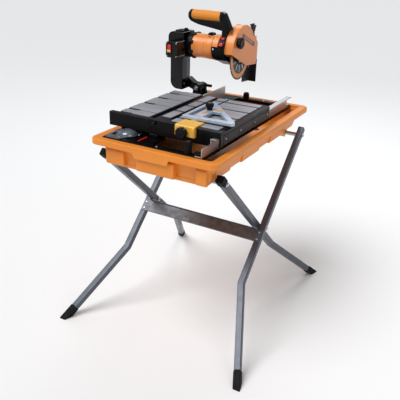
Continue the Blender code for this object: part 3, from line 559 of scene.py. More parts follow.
def make_tray_blocks(centre, half_x, half_y, rim):
    """Raised blocks moulded on the outside of the tray's walls."""
    front = centre[1] - half_y + 0.0235
    parts = []
    for x0, x1, proud, low in BLOCKS:
        side = [(front + 0.012, low), (front - proud + 0.004, low), (front - proud, low + 0.006),
                (front - proud, rim - 0.016), (front + 0.003, rim - 0.003), (front + 0.012, rim - 0.003)]
        parts.append(prism_bm(side, 0, x0, x1, 0.0022, 3))
    right = centre[0] + half_x - 0.0305
    for y0, y1 in SIDE_BLOCKS:
        side = [(right - 0.030, 0.6990), (right - 0.0130, 0.6990), (right - 0.0100, 0.7040),
                (right - 0.0035, rim - 0.016), (right - 0.0045, rim - 0.003), (right - 0.030, rim - 0.003)]
        parts.append(prism_bm(side, 1, y0, y1, 0.0022, 3))
        mirrored = [(2 * centre[0] - x, z) for x, z in side]
        parts.append(prism_bm(mirrored, 1, y0, y1, 0.0022, 3))
    rear = centre[1] + half_y - 0.0235
    for x0, x1 in REAR_BLOCKS:
        side = [(rear - 0.014, 0.7030), (rear - 0.002, 0.7030), (rear + 0.004, 0.7090),
                (rear + 0.004, rim - 0.016), (rear - 0.003, rim - 0.003), (rear - 0.014, rim - 0.003)]
        parts.append(prism_bm(side, 0, x0, x1, 0.0022, 3))
    trim("tray_wall_blocks", parts, "tray_plastic", "tray")


def make_tray_underside():
    """Rear hooks below the tray floor; the front saddle is a bar of its own."""
    refined("front_saddle", "tray_plastic", 0.0030, 3, longer=0.010)
    rear = middle("rear_rod")
    rod_r = (corners("rear_rod")[1].z - corners("rear_rod")[0].z) / 2
    gap = 0.0006
    parts = []
    for side in (-1, 1):
        x0, x1 = sorted((side * HOOK_X[0], side * HOOK_X[1]))
        hook = [(rear.y - HOOK_RADIUS, HOOK_TOP), (rear.y - HOOK_RADIUS, rear.z)]
        hook += arc((rear.y, rear.z), HOOK_RADIUS, 180, 270, 8)
        hook += [(rear.y, rear.z - rod_r - gap)]
        hook += arc((rear.y, rear.z), rod_r + gap, 270, 0, 14)
        hook += [(rear.y + 0.0160, rear.z), (rear.y + HOOK_RADIUS, HOOK_TOP)]
        parts.append(prism_bm(hook, 0, x0, x1))
    trim("tray_under_ribs", parts, "tray_plastic", "tray")
    low, high = corners("drain_plug")
    rows = [(low.z, 0.0165), (low.z + 0.0015, 0.0185, True), (0.7025, 0.0190, True), (0.7038, 0.0180),
            (0.7041, 0.0150), (high.z - 0.001, 0.0150), (high.z, 0.0140)]
    with_node("drain_cap", turned("drain_plug", 2, rows, 64, (16, 0.0015)), "black_rubber", "drain_plug")


def make_tray_fittings():
    refined("support_frame", "black_coat", 0.0015, 3)
    make_pump()
    for node in ("front_post", "rear_post"):
        low, high = corners(node)
        radius = (high.x - low.x) / 2
        rows = [(low.z, radius * 0.86), (low.z + 0.0015, radius, True), (high.z - 0.007, radius, True),
                (high.z - 0.0065, radius * 0.90), (high.z - 0.0025, radius * 0.86), (high.z, radius * 0.70)]
        with_node(node + "_knob", turned(node, 2, rows, 108, (18, radius * 0.09)), "black_plastic", node)
    low, high = corners("support_frame")
    inset = 0.014
    spots = [(low.x + inset, low.y + inset), (high.x - inset, low.y + inset),
             (low.x + inset, high.y - inset), (high.x - inset, high.y - inset),
             (0.0, low.y + inset), (0.06, high.y - inset)]
    fasten("frame_screws", "support_frame", [(x, y, high.z) for x, y in spots], (0, 0, 1), 0.0050, 0.0026)
    strip = box_bm((-0.0845, -0.345, high.z + 0.0001), (-0.0785, -0.290, high.z + 0.0016), 0.0006)
    trim("level_strip", strip, "switch_red", "support_frame")


PUMP_CAP_RADIUS = 0.0325
PUMP_SCREW_CIRCLE = 0.040
HAND_HOLE = ((-0.2020, -0.335), (-0.1800, -0.340), (-0.2020, -0.300))


def make_pump():
    """Grey cover plate with a three-sided hand hole, and the pump's round cap."""
    refined("pump_housing", "black_plastic", 0.001, 2)
    frame_low, frame_high = corners("support_frame")
    dome_mid = middle("pump_dome")
    top = frame_high.z
    x0, y0 = frame_low.x + 0.002, frame_low.y + 0.002
    outline = [(x0, y0 + 0.010), (x0 + 0.010, y0), (-0.150, y0), (-0.118, -0.296), (-0.118, -0.240),
               (x0, -0.240)]
    plate = prism_bm(outline, 2, top + 0.0002, top + 0.0028, 0.0006)
    cover = trim("pump_cover", plate, "pump_plate", "pump_housing")
    hole = prism_bm(HAND_HOLE, 2, top - 0.01, top + 0.01)
    cut_by(cover, hole, "hand_hole")
    radius = PUMP_CAP_RADIUS
    rows = [(top + 0.0029, radius + 0.003), (top + 0.0040, radius + 0.003), (top + 0.0048, radius)]
    for angle in (12, 26, 40, 54, 68, 80):
        turn = math.radians(angle)
        rows.append((top + 0.0048 + 0.0165 * math.sin(turn), radius * math.cos(turn)))
    with_node("pump_cap_dome", turned("pump_dome", 2, rows, 56), "pump_shell", "pump_dome")
    turns = [math.radians(angle) for angle in (20, 140, 260)]
    spots = [(*around((dome_mid.x, dome_mid.y), PUMP_SCREW_CIRCLE, turn), top + 0.0028) for turn in turns]
    fasten("pump_screws", "pump_housing", spots, (0, 0, 1), 0.0034, 0.0020)


def cut_by(obj, cutter_bm, name):
    """Cut a shape out of a piece now, and leave nothing behind."""
    bmesh.ops.recalc_face_normals(cutter_bm, faces=cutter_bm.faces)
    mesh = bpy.data.meshes.new(name)
    cutter_bm.to_mesh(mesh)
    cutter_bm.free()
    cutter = bpy.data.objects.new(name, mesh)
    bpy.context.scene.collection.objects.link(cutter)
    mod = obj.modifiers.new(name, "BOOLEAN")
    mod.operation = "DIFFERENCE"
    mod.solver = "EXACT"
    mod.object = cutter
    while obj.modifiers[0] != mod:
        obj.modifiers.move(obj.modifiers.find(mod.name), 0)
    depsgraph = bpy.context.evaluated_depsgraph_get()
    weighted = obj.modifiers.get("weighted_normals")
    if weighted is not None:
        weighted.show_viewport = False
    depsgraph.update()
    result = bpy.data.meshes.new_from_object(obj.evaluated_get(depsgraph))
    old = obj.data
    obj.modifiers.remove(mod)
    obj.data = result
    bpy.data.meshes.remove(old)
    bpy.data.objects.remove(cutter)
    bpy.data.meshes.remove(mesh)
    if weighted is not None:
        weighted.show_viewport = True
    result.shade_smooth()
    result.set_sharp_from_angle(angle=math.radians(35.0))
    return obj


def make_rails():
    refined("left_rail", "rail_steel", 0.0006, 2)
    refined("right_rail", "rail_steel", 0.0006, 2)
    heads = []
    for node, inset in (("left_rail", 0.016), ("right_rail", 0.012)):
        low, high = corners(node)
        x = low.x + inset
        for part in ((0.022, 0.978) if node == "left_rail" else (0.07, 0.94)):
            y = low.y + (high.y - low.y) * part
            heads.append(bolt_bm(Vector((x, y, low.z + 0.003)), (0, 0, 1), 0.0045, 0.0040))
    trim("rail_bolts", heads, "bolt_steel", "left_rail")
    low, high = corners("right_rail")
    block = box_bm((low.x - 0.006, low.y + 0.004, low.z + 0.0032),
                   (low.x + 0.020, low.y + 0.022, low.z + 0.013), 0.0015)
    bumper = box_bm((low.x + 0.001, low.y + 0.046, low.z + 0.0032),
                    (low.x + 0.021, low.y + 0.066, low.z + 0.015), 0.0015)
    trim("rail_stop_block", block, "black_plastic", "right_rail")
    trim("rail_bumper", bumper, "roller_bronze", "right_rail")


# ---------------------------------------------------------------- tables

PAD_THICK = 0.0028


def table_pad(x0, x1, y0, y1, z, corner=0.003):
    """Thin pad with cut corners and softened edges."""
    outline = [(x0 + corner, y0), (x1 - corner, y0), (x1, y0 + corner), (x1, y1 - corner),
               (x1 - corner, y1), (x0 + corner, y1), (x0, y1 - corner), (x0, y0 + corner)]
    return prism_bm(outline, 2, z, z + PAD_THICK, 0.0007)


CUT_YS = (-0.228, -0.131, -0.038, 0.047)         # wide gaps between the rows of pads


def make_side_table():
    low, high = corners("side_table")
    refined("side_table", "black_coat", longer=0.004, drop=PAD_THICK)
    refined("side_table_bar", "black_coat", 0.0012, 2, longer=0.003)
    top = high.z - PAD_THICK
    parts = []
    edges = [low.y - 0.001] + list(CUT_YS) + [high.y + 0.001]
    left, step, right = low.x + 0.0012, low.x + 0.050, high.x - 0.004
    for y0, y1 in zip(edges, edges[1:]):
        middle_y = (y0 + y1) / 2
        for near, far, wide in ((y0, middle_y, 1), (y1, middle_y, -1)):
            outer, inner = near + wide * 0.0034, far - wide * 0.0008
            wedge = near + wide * 0.0090
            outline = [(left, wedge), (step, wedge), (step + 0.004, outer), (right, outer), (right, inner),
                       (left, inner)]
            parts.append(prism_bm(outline, 2, top, top + PAD_THICK, 0.0006))
    trim("side_table_pads", parts, "pad_grey", "side_table")


SKIRT_SCREW_YS = (-0.262, -0.150, -0.035, 0.080)
SKIRT_SCREW_Z = 0.8285
SKIRT_RIDGE = (0.8405, 0.8430)                   # bottom and top of the ridge along the skirt


def make_carriage():
    low, high = corners("carriage")
    refined("carriage", "black_coat", longer=0.004, drop=PAD_THICK)
    refined("carriage_bar", "black_coat", 0.0012, 2, longer=0.003)
    top = high.z - PAD_THICK
    slot = middle("saw_blade").x
    parts = []
    gaps = [low.y - 0.002, -0.250, -0.157, -0.075, 0.000, high.y - 0.002]
    for y0, y1 in zip(gaps, gaps[1:]):
        if y1 - y0 > 0.035:
            parts.append(table_pad(low.x + 0.010, slot - 0.0085, y0 + 0.006, y1 - 0.006, top, 0.002))
    right = (slot + 0.0105, high.x - 0.024)
    edges = [low.y - 0.001] + list(CUT_YS) + [high.y - 0.004]
    for y0, y1 in zip(edges, edges[1:]):
        split = (y0 + y1) / 2
        near, far = y0 + 0.0065, y1 - 0.0065
        parts.append(table_pad(right[0], right[0] + 0.034, near, far, top))
        parts.append(table_pad(right[0] + 0.041, right[1], near, split - 0.0009, top))
        parts.append(table_pad(right[0] + 0.041, right[1], split + 0.0009, far, top))
    trim("carriage_pads", parts, "pad_grey", "carriage")
    ridge = box_bm((high.x - 0.0006, low.y + 0.003, SKIRT_RIDGE[0]),
                   (high.x + 0.0014, high.y - 0.003, SKIRT_RIDGE[1]), 0.0006)
    trim("skirt_ridge", ridge, "black_coat", "carriage")
    spots = [(high.x, y, SKIRT_SCREW_Z) for y in SKIRT_SCREW_YS]
    fasten("skirt_screws", "carriage", spots, (1, 0, 0), 0.0030, 0.0016)
    for node in ("roller_left_0", "roller_left_1", "roller_right_0", "roller_right_1"):
        make_roller(node)
    refined("carriage_lock", "black_plastic", 0.0010, 2, longer=0.003)


def make_roller(node):
    low, high = corners(node)
    radius = (high.z - low.z) / 2
    side = -1 if "left" in node else 1
    hub, rim = (high.x, low.x) if side < 0 else (low.x, high.x)
    at = (lambda part: hub + (rim - hub) * part)
    rows = [(hub, 0.004), (at(0.12), 0.004), (at(0.13), radius - 0.0025), (at(0.16), radius - 0.0008),
            (at(0.22), radius), (at(0.50), radius), (at(0.53), radius - 0.0008),
            (at(0.57), radius - 0.0008), (at(0.60), radius), (at(0.92), radius),
            (at(0.98), radius - 0.0008), (at(0.99), radius - 0.003), (at(0.94), radius - 0.0035),
            (at(0.94), 0.0045), (at(1.0), 0.0040), (at(1.0), 0.0015)]
    with_node(node + "_wheel", turned(node, 0, rows), "roller_bronze", node)


# ---------------------------------------------------------------- guide and gauge

def fluted_knob(node, axis, rows, mat="black_plastic", count=9, depth=0.0022, steps=108):
    return with_node(node + "_fluted", turned(node, axis, rows, steps, (count, depth)), mat, node)


def make_guide():
    low, high = corners("guide_clamp")
    bar_low, bar_high = corners("carriage_bar")
    wall = 0.0042
    side = [(low.y, low.z), (low.y, high.z - 0.006)]
    side += arc((low.y + 0.006, high.z - 0.006), 0.006, 180, 90, 5)
    side += [(high.y - 0.002, high.z), (high.y, high.z - 0.002), (high.y, bar_high.z + 0.0004),
             (bar_low.y - 0.0003, bar_high.z + 0.0004), (bar_low.y - 0.0003, low.z)]
    bm = prism_bm(side, 0, low.x, high.x, 0.0012, 3)
    with_node("guide_clamp_shell", bm, "clamp_yellow", "guide_clamp")
    mid_x = (low.x + high.x) / 2
    ribs = []
    for x in (low.x + 0.003, high.x - 0.003 - wall):
        fin = [(low.y - 0.0012, low.z + 0.004), (low.y + 0.002, low.z + 0.004),
               (low.y + 0.002, high.z - 0.004), (low.y - 0.0012, high.z - 0.008)]
        ribs.append(prism_bm(fin, 0, x, x + wall, 0.0005))
    ribs.append(box_bm((mid_x - 0.020, high.y - 0.045, high.z - 0.0005),
                       (mid_x + 0.020, high.y - 0.030, high.z + 0.0004), 0.0005))
    trim("guide_clamp_ribs", ribs, "clamp_yellow", "guide_clamp")
    refined("guide_arm", "gauge_metal", 0.0005, 2, longer=0.004)
    low, high = corners("guide_knob")
    radius = (high.x - low.x) / 2
    rows = [(high.y, 0.0125), (high.y - 0.003, 0.0130), (high.y - 0.0045, 0.0150),
            (high.y - 0.0055, radius, True), (low.y + 0.0045, radius, True),
            (low.y + 0.0015, radius * 0.93, True), (low.y, radius * 0.80), (low.y + 0.0012, radius * 0.66),
            (low.y + 0.0012, radius * 0.30), (low.y - 0.0002, radius * 0.22), (low.y - 0.0002, 0.0008)]
    fluted_knob("guide_knob", 1, rows)


POINTERS = ((0.0800, -0.1720, 0), (0.1110, -0.1270, -60))    # X, Y and turn of each orange pointer
TICKS = 22
FIRST_TICK = 0.0450
TICK_PITCH = 0.0072
THREAD_PITCH = 0.0010


def make_gauge():
    refined("gauge_plate", "gauge_metal", 0.0016, 3, longer=0.004)
    low, high = corners("gauge_plate")
    stud = middle("gauge_stud")
    top = high.z
    pointers = []
    for x0, y0, turn in POINTERS:
        shape = [(-0.006, -0.013), (0.006, -0.013), (0.005, 0.008), (0.0, 0.015), (-0.005, 0.008)]
        bm = prism_bm(shape, 2, 0.0001, 0.0022, 0.0005)
        bm.transform(Matrix.Translation((x0, y0, top)) @ Matrix.Rotation(math.radians(turn), 4, "Z"))
        pointers.append(bm)
    trim("gauge_pointers", pointers, "pointer_orange", "gauge_plate")
    ticks = []
    for i in range(TICKS):
        x = FIRST_TICK + TICK_PITCH * i
        reach = 0.0062 if i % 5 == 0 else 0.0042
        ticks.append(box_bm((x - 0.0003, low.y + 0.0035, top + 0.00005),
                            (x + 0.0003, low.y + 0.0035 + reach, top + 0.00025)))
    trim("gauge_ticks", ticks, "black_plastic", "gauge_plate")
    low, high = corners("gauge_stud")
    rows = [(low.z, 0.0038)]
    z = low.z + 0.014
    while z < high.z - 0.0015:
        rows += [(z, 0.0040), (z + 0.0005, 0.0034)]
        z += THREAD_PITCH
    rows += [(high.z - 0.0008, 0.0038), (high.z, 0.0028)]
    with_node("gauge_stud_thread", turned("gauge_stud", 2, rows, 28), "bolt_steel", "gauge_stud")
    low, high = corners("gauge_knob")
    radius = (high.x - low.x) / 2
    bm = ring_knob(low.z, high.z, radius, (stud.x, stud.y), 0.0042)
    with_node("gauge_knob_fluted", bm, "black_plastic", "gauge_knob")


def ring_knob(low, high, radius, centre, bore):
    """Star knob with a bore through it, on a vertical axis."""
    rows = [(low, bore), (low, 0.0098), (low + 0.001, 0.0105), (low + 0.0085, 0.0105),
            (low + 0.0105, radius - 0.001, True), (low + 0.013, radius, True),
            (high - 0.0030, radius, True), (high - 0.0008, radius * 0.88, True), (high, radius * 0.70),
            (high, bore)]
    steps = 96
    bm = bmesh.new()
    rings = []
    for row in rows:
        ring = []
        for i in range(steps):
            turn = math.tau * i / steps
            r = row[1]
            if len(row) > 2:
                r -= 0.0020 * (0.5 - 0.5 * math.cos(turn * 8)) ** 2
            ring.append(bm.verts.new((*around(centre, r, turn), row[0])))
        rings.append(ring)
    skin(bm, rings, loop=True)
    return bm


# ---------------------------------------------------------------- column and tilt joint

BASE_PLATE_TOP = 0.818


def make_column():
    refined("tilt_base", "black_coat", 0.0012, 2, longer=0.004)
    refined("column", "black_gloss", 0.0030, 3, longer=0.012)
    refined("column_foot", "black_coat", 0.0012, 2, longer=0.002)
    refined("tilt_lock", "black_plastic", 0.0010, 2, longer=0.002)
    low, high = corners("column")
    strip = box_bm((high.x - 0.0062, low.y + 0.0375, low.z + 0.032),
                   (high.x - 0.0020, low.y + 0.062, high.z - 0.004), 0.0006)
    trim("column_strip", strip, "label_dark", "column")
    pin = middle("tilt_pin")
    side_bolt = bolt_bm(Vector((high.x, low.y + 0.018, low.z + 0.022)), (1, 0, 0), 0.0046, 0.0050)
    trim("column_bolt", side_bolt, "bolt_steel", "column")
    low, high = corners("tilt_pin")
    head = bolt_bm(Vector((pin.x, low.y + 0.0056, pin.z)), (0, -1, 0), 0.0072, 0.0080)
    shank = turned("tilt_pin", 1, [(low.y + 0.004, 0.0060), (high.y, 0.0060)], 32)
    with_node("tilt_pin_bolt", join_bm(head, shank), "bolt_steel", "tilt_pin")
    low, high = corners("tilt_base")
    corner_spots = ((high.x - 0.012, low.y + 0.012), (high.x - 0.012, high.y - 0.014),
                    (low.x + 0.014, high.y - 0.014))
    spots = [(x, y, BASE_PLATE_TOP) for x, y in corner_spots]
    fasten("tilt_base_bolts", "tilt_base", spots, (0, 0, 1), 0.0062, 0.0062, bolt_bm)
    rows = [(BASE_PLATE_TOP + 0.0002, 0.0035), (BASE_PLATE_TOP + 0.010, 0.0035),
            (BASE_PLATE_TOP + 0.011, 0.0075, True), (BASE_PLATE_TOP + 0.018, 0.0080, True),
            (BASE_PLATE_TOP + 0.020, 0.0060)]
    stop = lathe_bm(rows, 2, (high.x - 0.010, low.y + 0.050, 0), 48, (8, 0.001))
    trim("tilt_stop_knob", stop, "black_plastic", "tilt_base")


# ---------------------------------------------------------------- saw head

BEZEL_Z = 1.024                      # height of the middle of the switch's bezel


def make_bracket():
    refined("head_bracket", "black_gloss", 0.0026, 3, longer=0.004)
    refined("switch_box", "black_gloss", 0.0016, 2, longer=0.002)
    refined("power_switch", "switch_red", 0.0008, 2)
    low, high = corners("switch_box")
    mid = middle("switch_box")
    y = low.y
    paddle = middle("power_switch")
    outer = rounded(0.0118, 0.0208, 0.004, (paddle.x, BEZEL_Z), 5)
    inner = rounded(0.0086, 0.0178, 0.002, (paddle.x, BEZEL_Z), 5)
    bezel = frame_bm(outer, inner, y - 0.0022, y + 0.0002)
    trim("switch_bezel", bezel, "black_plastic", "switch_box")
    face = corners("power_switch")[0].y + 0.0045
    lower = [(face + 0.004, 1.0080), (face - 0.0002, 1.0080), (face - 0.0050, 1.0138),
             (face - 0.0036, 1.0190), (face + 0.004, 1.0190)]
    lamp = prism_bm(lower, 0, paddle.x - 0.0077, paddle.x + 0.0077, 0.0005)
    trim("paddle_lower_half", lamp, "switch_cream", "power_switch")
    spots = [(mid.x + sx * 0.0210, y, mid.z + sz * 0.0250) for sx in (-1, 1) for sz in (-1, 1)]
    fasten("switch_screws", "switch_box", spots, (0, -1, 0), 0.0026, 0.0014)
    low, high = corners("head_bracket")
    ribs = []
    for z in (low.z + 0.016, low.z + 0.030, low.z + 0.044):
        ribs.append(box_bm((low.x + 0.010, low.y - 0.0012, z), (high.x - 0.008, low.y + 0.0010, z + 0.0035),
                           0.0006))
    trim("bracket_ribs", ribs, "black_gloss", "head_bracket")
    cap = prism_bm(rounded(0.020, 0.026, 0.008, ((low.x + high.x) / 2 + 0.004, (low.y + high.y) / 2), 6), 2,
                   high.z - 0.0005, high.z + 0.0035, 0.0012)
    knob = lathe_bm([(high.z + 0.003, 0.0085), (high.z + 0.0095, 0.0085, True), (high.z + 0.0115, 0.0065)],
                    2, (high.x - 0.014, (low.y + high.y) / 2, 0), 60, (10, 0.0008))
    trim("bracket_cap", [cap, knob], "black_plastic", "head_bracket")
    low, high = corners("height_knob")
    rear = high.y
    rows = [(low.y, 0.0040), (low.y + 0.0068, 0.0040), (low.y + 0.0068, 0.0110), (low.y + 0.0140, 0.0110),
            (low.y + 0.0150, 0.0195, True), (rear - 0.004, 0.0200, True), (rear - 0.0015, 0.0180, True),
            (rear, 0.0150), (rear, 0.0040)]
    fluted_knob("height_knob", 1, rows)


def frame_bm(outer, inner, low, high):
    """Flat frame in the XZ plane between two outlines with equal point counts."""
    bm = bmesh.new()
    rings = []
    for outline, y in ((outer, high), (outer, low), (inner, low), (inner, high)):
        rings.append([bm.verts.new((x, y, z)) for x, z in outline])
    skin(bm, rings, loop=True)
    bmesh.ops.recalc_face_normals(bm, faces=bm.faces)
    return bevel(bm, 0.0005, 2)


CAP_LOBES = 8
VENTS = 5
BRUSH_X = -0.0970


def make_motor():
    low, high = corners("motor_ring")
    axis_y, axis_z = middle("motor_body").y, middle("motor_body").z
    radius = (high.z - low.z) / 2
    rows = [(low.x, radius * 0.82), (low.x + 0.002, radius * 0.88), (low.x + 0.005, radius),
            (low.x + 0.010, radius), (low.x + 0.011, radius * 0.97), (low.x + 0.013, radius * 0.97),
            (low.x + 0.014, radius), (high.x, radius * 0.995)]
    with_node("motor_end_cap", turned("motor_body", 0, rows, 80), "black_plastic", "motor_ring")
    lobes = []
    for k in range(CAP_LOBES):
        turn = math.radians(22.5 + 45 * k)
        spot = Vector((high.x - 0.004, *around((axis_y, axis_z), radius - 0.004, turn)))
        lobe = lathe_bm([(0.0, 0.0078), (0.0115, 0.0078), (0.0135, 0.0064)], 0, (0, 0, 0), 28)
        lobe.transform(Matrix.Translation(spot))
        lobes.append(lobe)
    trim("motor_cap_lobes", lobes, "black_plastic", "motor_body")
    low, high = corners("motor_body")
    radius = (high.z - low.z) / 2
    start, end = low.x, high.x
    rows = [(start, radius - 0.003), (start + 0.003, radius - 0.0005), (start + 0.020, radius),
            (start + 0.022, radius - 0.0012), (start + 0.060, radius - 0.0012), (start + 0.062, radius),
            (end - 0.010, radius), (end - 0.003, radius - 0.0015), (end, radius - 0.004)]
    with_node("motor_shell", turned("motor_body", 0, rows, 96), "housing_plastic", "motor_body")
    outer = arc((axis_y, axis_z), radius + 0.0002, 148, 212, 20)
    inner = arc((axis_y, axis_z), radius - 0.0030, 212, 148, 20)
    panel = prism_bm(outer + inner, 0, start + 0.026, start + 0.056, 0.0006)
    trim("motor_panel", panel, "housing_plastic", "motor_body")
    vents = []
    for k in range(VENTS):
        turn = math.radians(-64 - 14 * k)
        vent = box_bm((start + 0.066, -0.0022, radius - 0.0016), (start + 0.080, 0.0022, radius + 0.0001),
                      0.0005)
        spin = Matrix.Rotation(-turn - math.pi / 2, 4, "X")
        vent.transform(Matrix.Translation((0, axis_y, axis_z)) @ spin)
        vents.append(vent)
    trim("motor_vents", vents, "black_plastic", "motor_body")
    top = axis_z + radius
    outline = [(BRUSH_X - 0.0150, top - 0.004), (BRUSH_X - 0.0125, top + 0.004),
               (BRUSH_X - 0.007, top + 0.0085), (BRUSH_X + 0.007, top + 0.0085),
               (BRUSH_X + 0.0125, top + 0.004), (BRUSH_X + 0.0150, top - 0.004)]
    hump = prism_bm(outline, 1, axis_y - 0.011, axis_y + 0.011, 0.002, 3)
    trim("brush_cap", hump, "black_plastic", "motor_body")


def make_gearbox():
    refined("gearbox", "black_plastic", 0.0022, 3, longer=0.003)
    low = corners("gearbox")[0]
    motor = middle("motor_body")
    reach = (corners("motor_body")[1].z - corners("motor_body")[0].z) / 2
    marks = []
    for angle, length in ((122, 0.014), (155, 0.016)):
        turn = math.radians(angle)
        out = Vector((0, math.cos(turn), math.sin(turn)))
        spot = Vector((low.x + 0.036, motor.y, motor.z)) + out * (reach - 0.0002)
        mark = prism_bm(rounded(length / 2, 0.0060, 0.0025, steps=4), 2, 0.0, 0.0024, 0.0006)
        marks.append(placed(mark, spot, (1, 0, 0), out))
    trim("gearbox_marks", marks, "switch_red", "gearbox")
    rows = [(low.x - 0.003, reach - 0.001), (low.x - 0.002, reach + 0.0016),
            (low.x + 0.010, reach + 0.0022), (low.x + 0.012, reach + 0.0010),
            (low.x + 0.040, reach + 0.0010), (low.x + 0.042, reach - 0.002)]
    collar = turned("motor_body", 0, rows, 80)
    trim("gearbox_collar", collar, "black_plastic", "gearbox")
    outer = arc((motor.y, motor.z), reach + 0.0030, 62, 168, 24)
    inner = arc((motor.y, motor.z), reach + 0.0004, 168, 62, 24)
    sleeve = prism_bm(outer + inner, 0, low.x - 0.0005, low.x + 0.0240, 0.0007)
    trim("motor_sleeve", sleeve, "housing_plastic", "motor_body")
    heads = []
    for angle in (125, 180, 235):
        turn = math.radians(angle)
        spot = Vector((low.x + 0.006, *around((motor.y, motor.z), reach + 0.001, turn)))
        heads.append(screw_bm(spot, (0, math.cos(turn), math.sin(turn)), 0.0036, 0.0024))
    trim("gearbox_screws", heads, "bolt_steel", "gearbox")


GUARD_CENTRE = (0.2640, 1.0080)      # Y and Z of the middle of the guard's round edge
BEAD_RADII = (0.1020, 0.1062)
GUARD_SCREWS = ((0.174, 1.018), (0.300, 1.090), (0.385, 1.010), (0.385, 0.962))      # Y and Z
GUARD_PLATE_AT = (0.3045, 1.0510)    # Y and Z of the middle of the guard's plate


def make_guard():
    refined("blade_guard", "housing_plastic", 0.0016, 3, longer=0.0035)
    low, high = corners("blade_guard")
    face = high.x
    along = Vector((0, 0.119, -0.050)).normalized()
    start = Vector((face, *GUARD_PLATE_AT))
    plate = prism_bm(rounded(0.064, 0.0085, 0.002, steps=4), 2, 0.0001, 0.0014, 0.0005)
    placed(plate, start, along, (1, 0, 0))
    trim("guard_plate", plate, "label_dark", "blade_guard")
    inlay = prism_bm(rounded(0.045, 0.0050, 0.002, steps=4), 2, 0.0013, 0.0020, 0.0003)
    placed(inlay, start - along * 0.004, along, (1, 0, 0))
    trim("guard_plate_inlay", inlay, "label_tan", "blade_guard")
    rim = []
    outer = arc(GUARD_CENTRE, BEAD_RADII[1], 172, 34, 40)
    inner = arc(GUARD_CENTRE, BEAD_RADII[0], 34, 172, 40)
    rim.append(prism_bm(outer + inner, 0, face - 0.0040, face + 0.0006, 0.0008))
    rim.append(prism_bm(outer + inner, 0, low.x - 0.0006, low.x + 0.0040, 0.0008))
    trim("guard_rim_beads", rim, "housing_plastic", "blade_guard")
    spots = [(face, y, z) for y, z in GUARD_SCREWS]
    fasten("guard_screws", "blade_guard", spots, (1, 0, 0), 0.0034, 0.0018)
    low, high = corners("guard_knob")
    rows = [(low.x, 0.0040), (low.x + 0.0046, 0.0040), (low.x + 0.0048, 0.0130), (low.x + 0.0085, 0.0135),
            (low.x + 0.0095, 0.0208, True), (high.x - 0.0035, 0.0215, True),
            (high.x - 0.0010, 0.0192, True), (high.x, 0.0158), (high.x - 0.0008, 0.0125),
            (high.x - 0.0008, 0.0010)]
    fluted_knob("guard_knob", 0, rows, count=10, depth=0.0016, steps=120)


BLADE_SEGMENTS = 14
TOOTH_POINTS = 8
SPOKES = 10


def make_blade():
    low, high = corners("saw_blade")
    hub = middle("saw_blade")
    axle = (hub.y, hub.z)
    radius = (high.z - low.z) / 2
    half = (high.x - low.x) / 2
    gullet = math.radians(1.6)
    outline = []
    for k in range(BLADE_SEGMENTS):
        start = math.tau * k / BLADE_SEGMENTS
        end = math.tau * (k + 1) / BLADE_SEGMENTS
        for i in range(7):
            turn = start + gullet + (end - start - 2 * gullet) * i / 6
            outline.append(around(axle, radius * 0.985, turn))
        for turn, part in ((end - gullet * 0.8, 0.90), (end, 0.885), (end + gullet * 0.8, 0.90)):
            outline.append(around(axle, radius * part, turn))
    disc = prism_bm(outline, 0, hub.x - half * 0.75, hub.x + half * 0.75, 0.0003)
    blade = with_node("blade_disc", disc, "blade_dark", "saw_blade")
    bore = turned("saw_blade", 0, [(hub.x - 0.01, 0.0081), (hub.x + 0.01, 0.0081)], 40)
    cut_by(blade, bore, "blade_bore")
    ring_set("blade_coat", hub, (half * 0.75, half * 0.90), (radius * 0.72, radius * 0.925), "blade_orange")
    teeth = []
    for k in range(BLADE_SEGMENTS):
        start = math.tau * k / BLADE_SEGMENTS + gullet
        end = math.tau * (k + 1) / BLADE_SEGMENTS - gullet
        shape = []
        for i in range(TOOTH_POINTS):
            turn = start + (end - start) * i / (TOOTH_POINTS - 1)
            shape.append(around(axle, radius, turn))
        for i in range(TOOTH_POINTS):
            turn = end - (end - start) * i / (TOOTH_POINTS - 1)
            shape.append(around(axle, radius * 0.935, turn))
        teeth.append(prism_bm(shape, 0, hub.x - half, hub.x + half, 0.0002))
    trim("blade_teeth", teeth, "blade_rim", "saw_blade")
    spokes = []
    for k in range(SPOKES):
        turn = math.tau * k / SPOKES
        spoke = box_bm((hub.x - half * 0.86, -0.0016, radius * 0.34),
                       (hub.x + half * 0.86, 0.0016, radius * 0.66), 0.0002)
        spoke.transform(Matrix.Translation((0, hub.y, hub.z)) @ Matrix.Rotation(turn, 4, "X"))
        spokes.append(spoke)
    trim("blade_spokes", spokes, "bolt_steel", "saw_blade")
    make_arbor(hub)


def ring_set(name, hub, xs, radii, mat):
    """A thin coated ring on each face of the disc."""
    (inside, outside), (inner_r, outer_r) = xs, radii
    steps = 96
    parts = []
    for side in (-1, 1):
        bm = bmesh.new()
        rings = []
        for x, r in ((inside, inner_r), (outside, inner_r + 0.0003), (outside, outer_r - 0.0003),
                     (inside, outer_r)):
            ring = []
            for i in range(steps):
                turn = math.tau * i / steps
                ring.append(bm.verts.new((hub.x + side * x, *around((hub.y, hub.z), r, turn))))
            rings.append(ring)
        skin(bm, rings, loop=True)
        parts.append(bm)
    trim(name, parts, mat, "saw_blade")


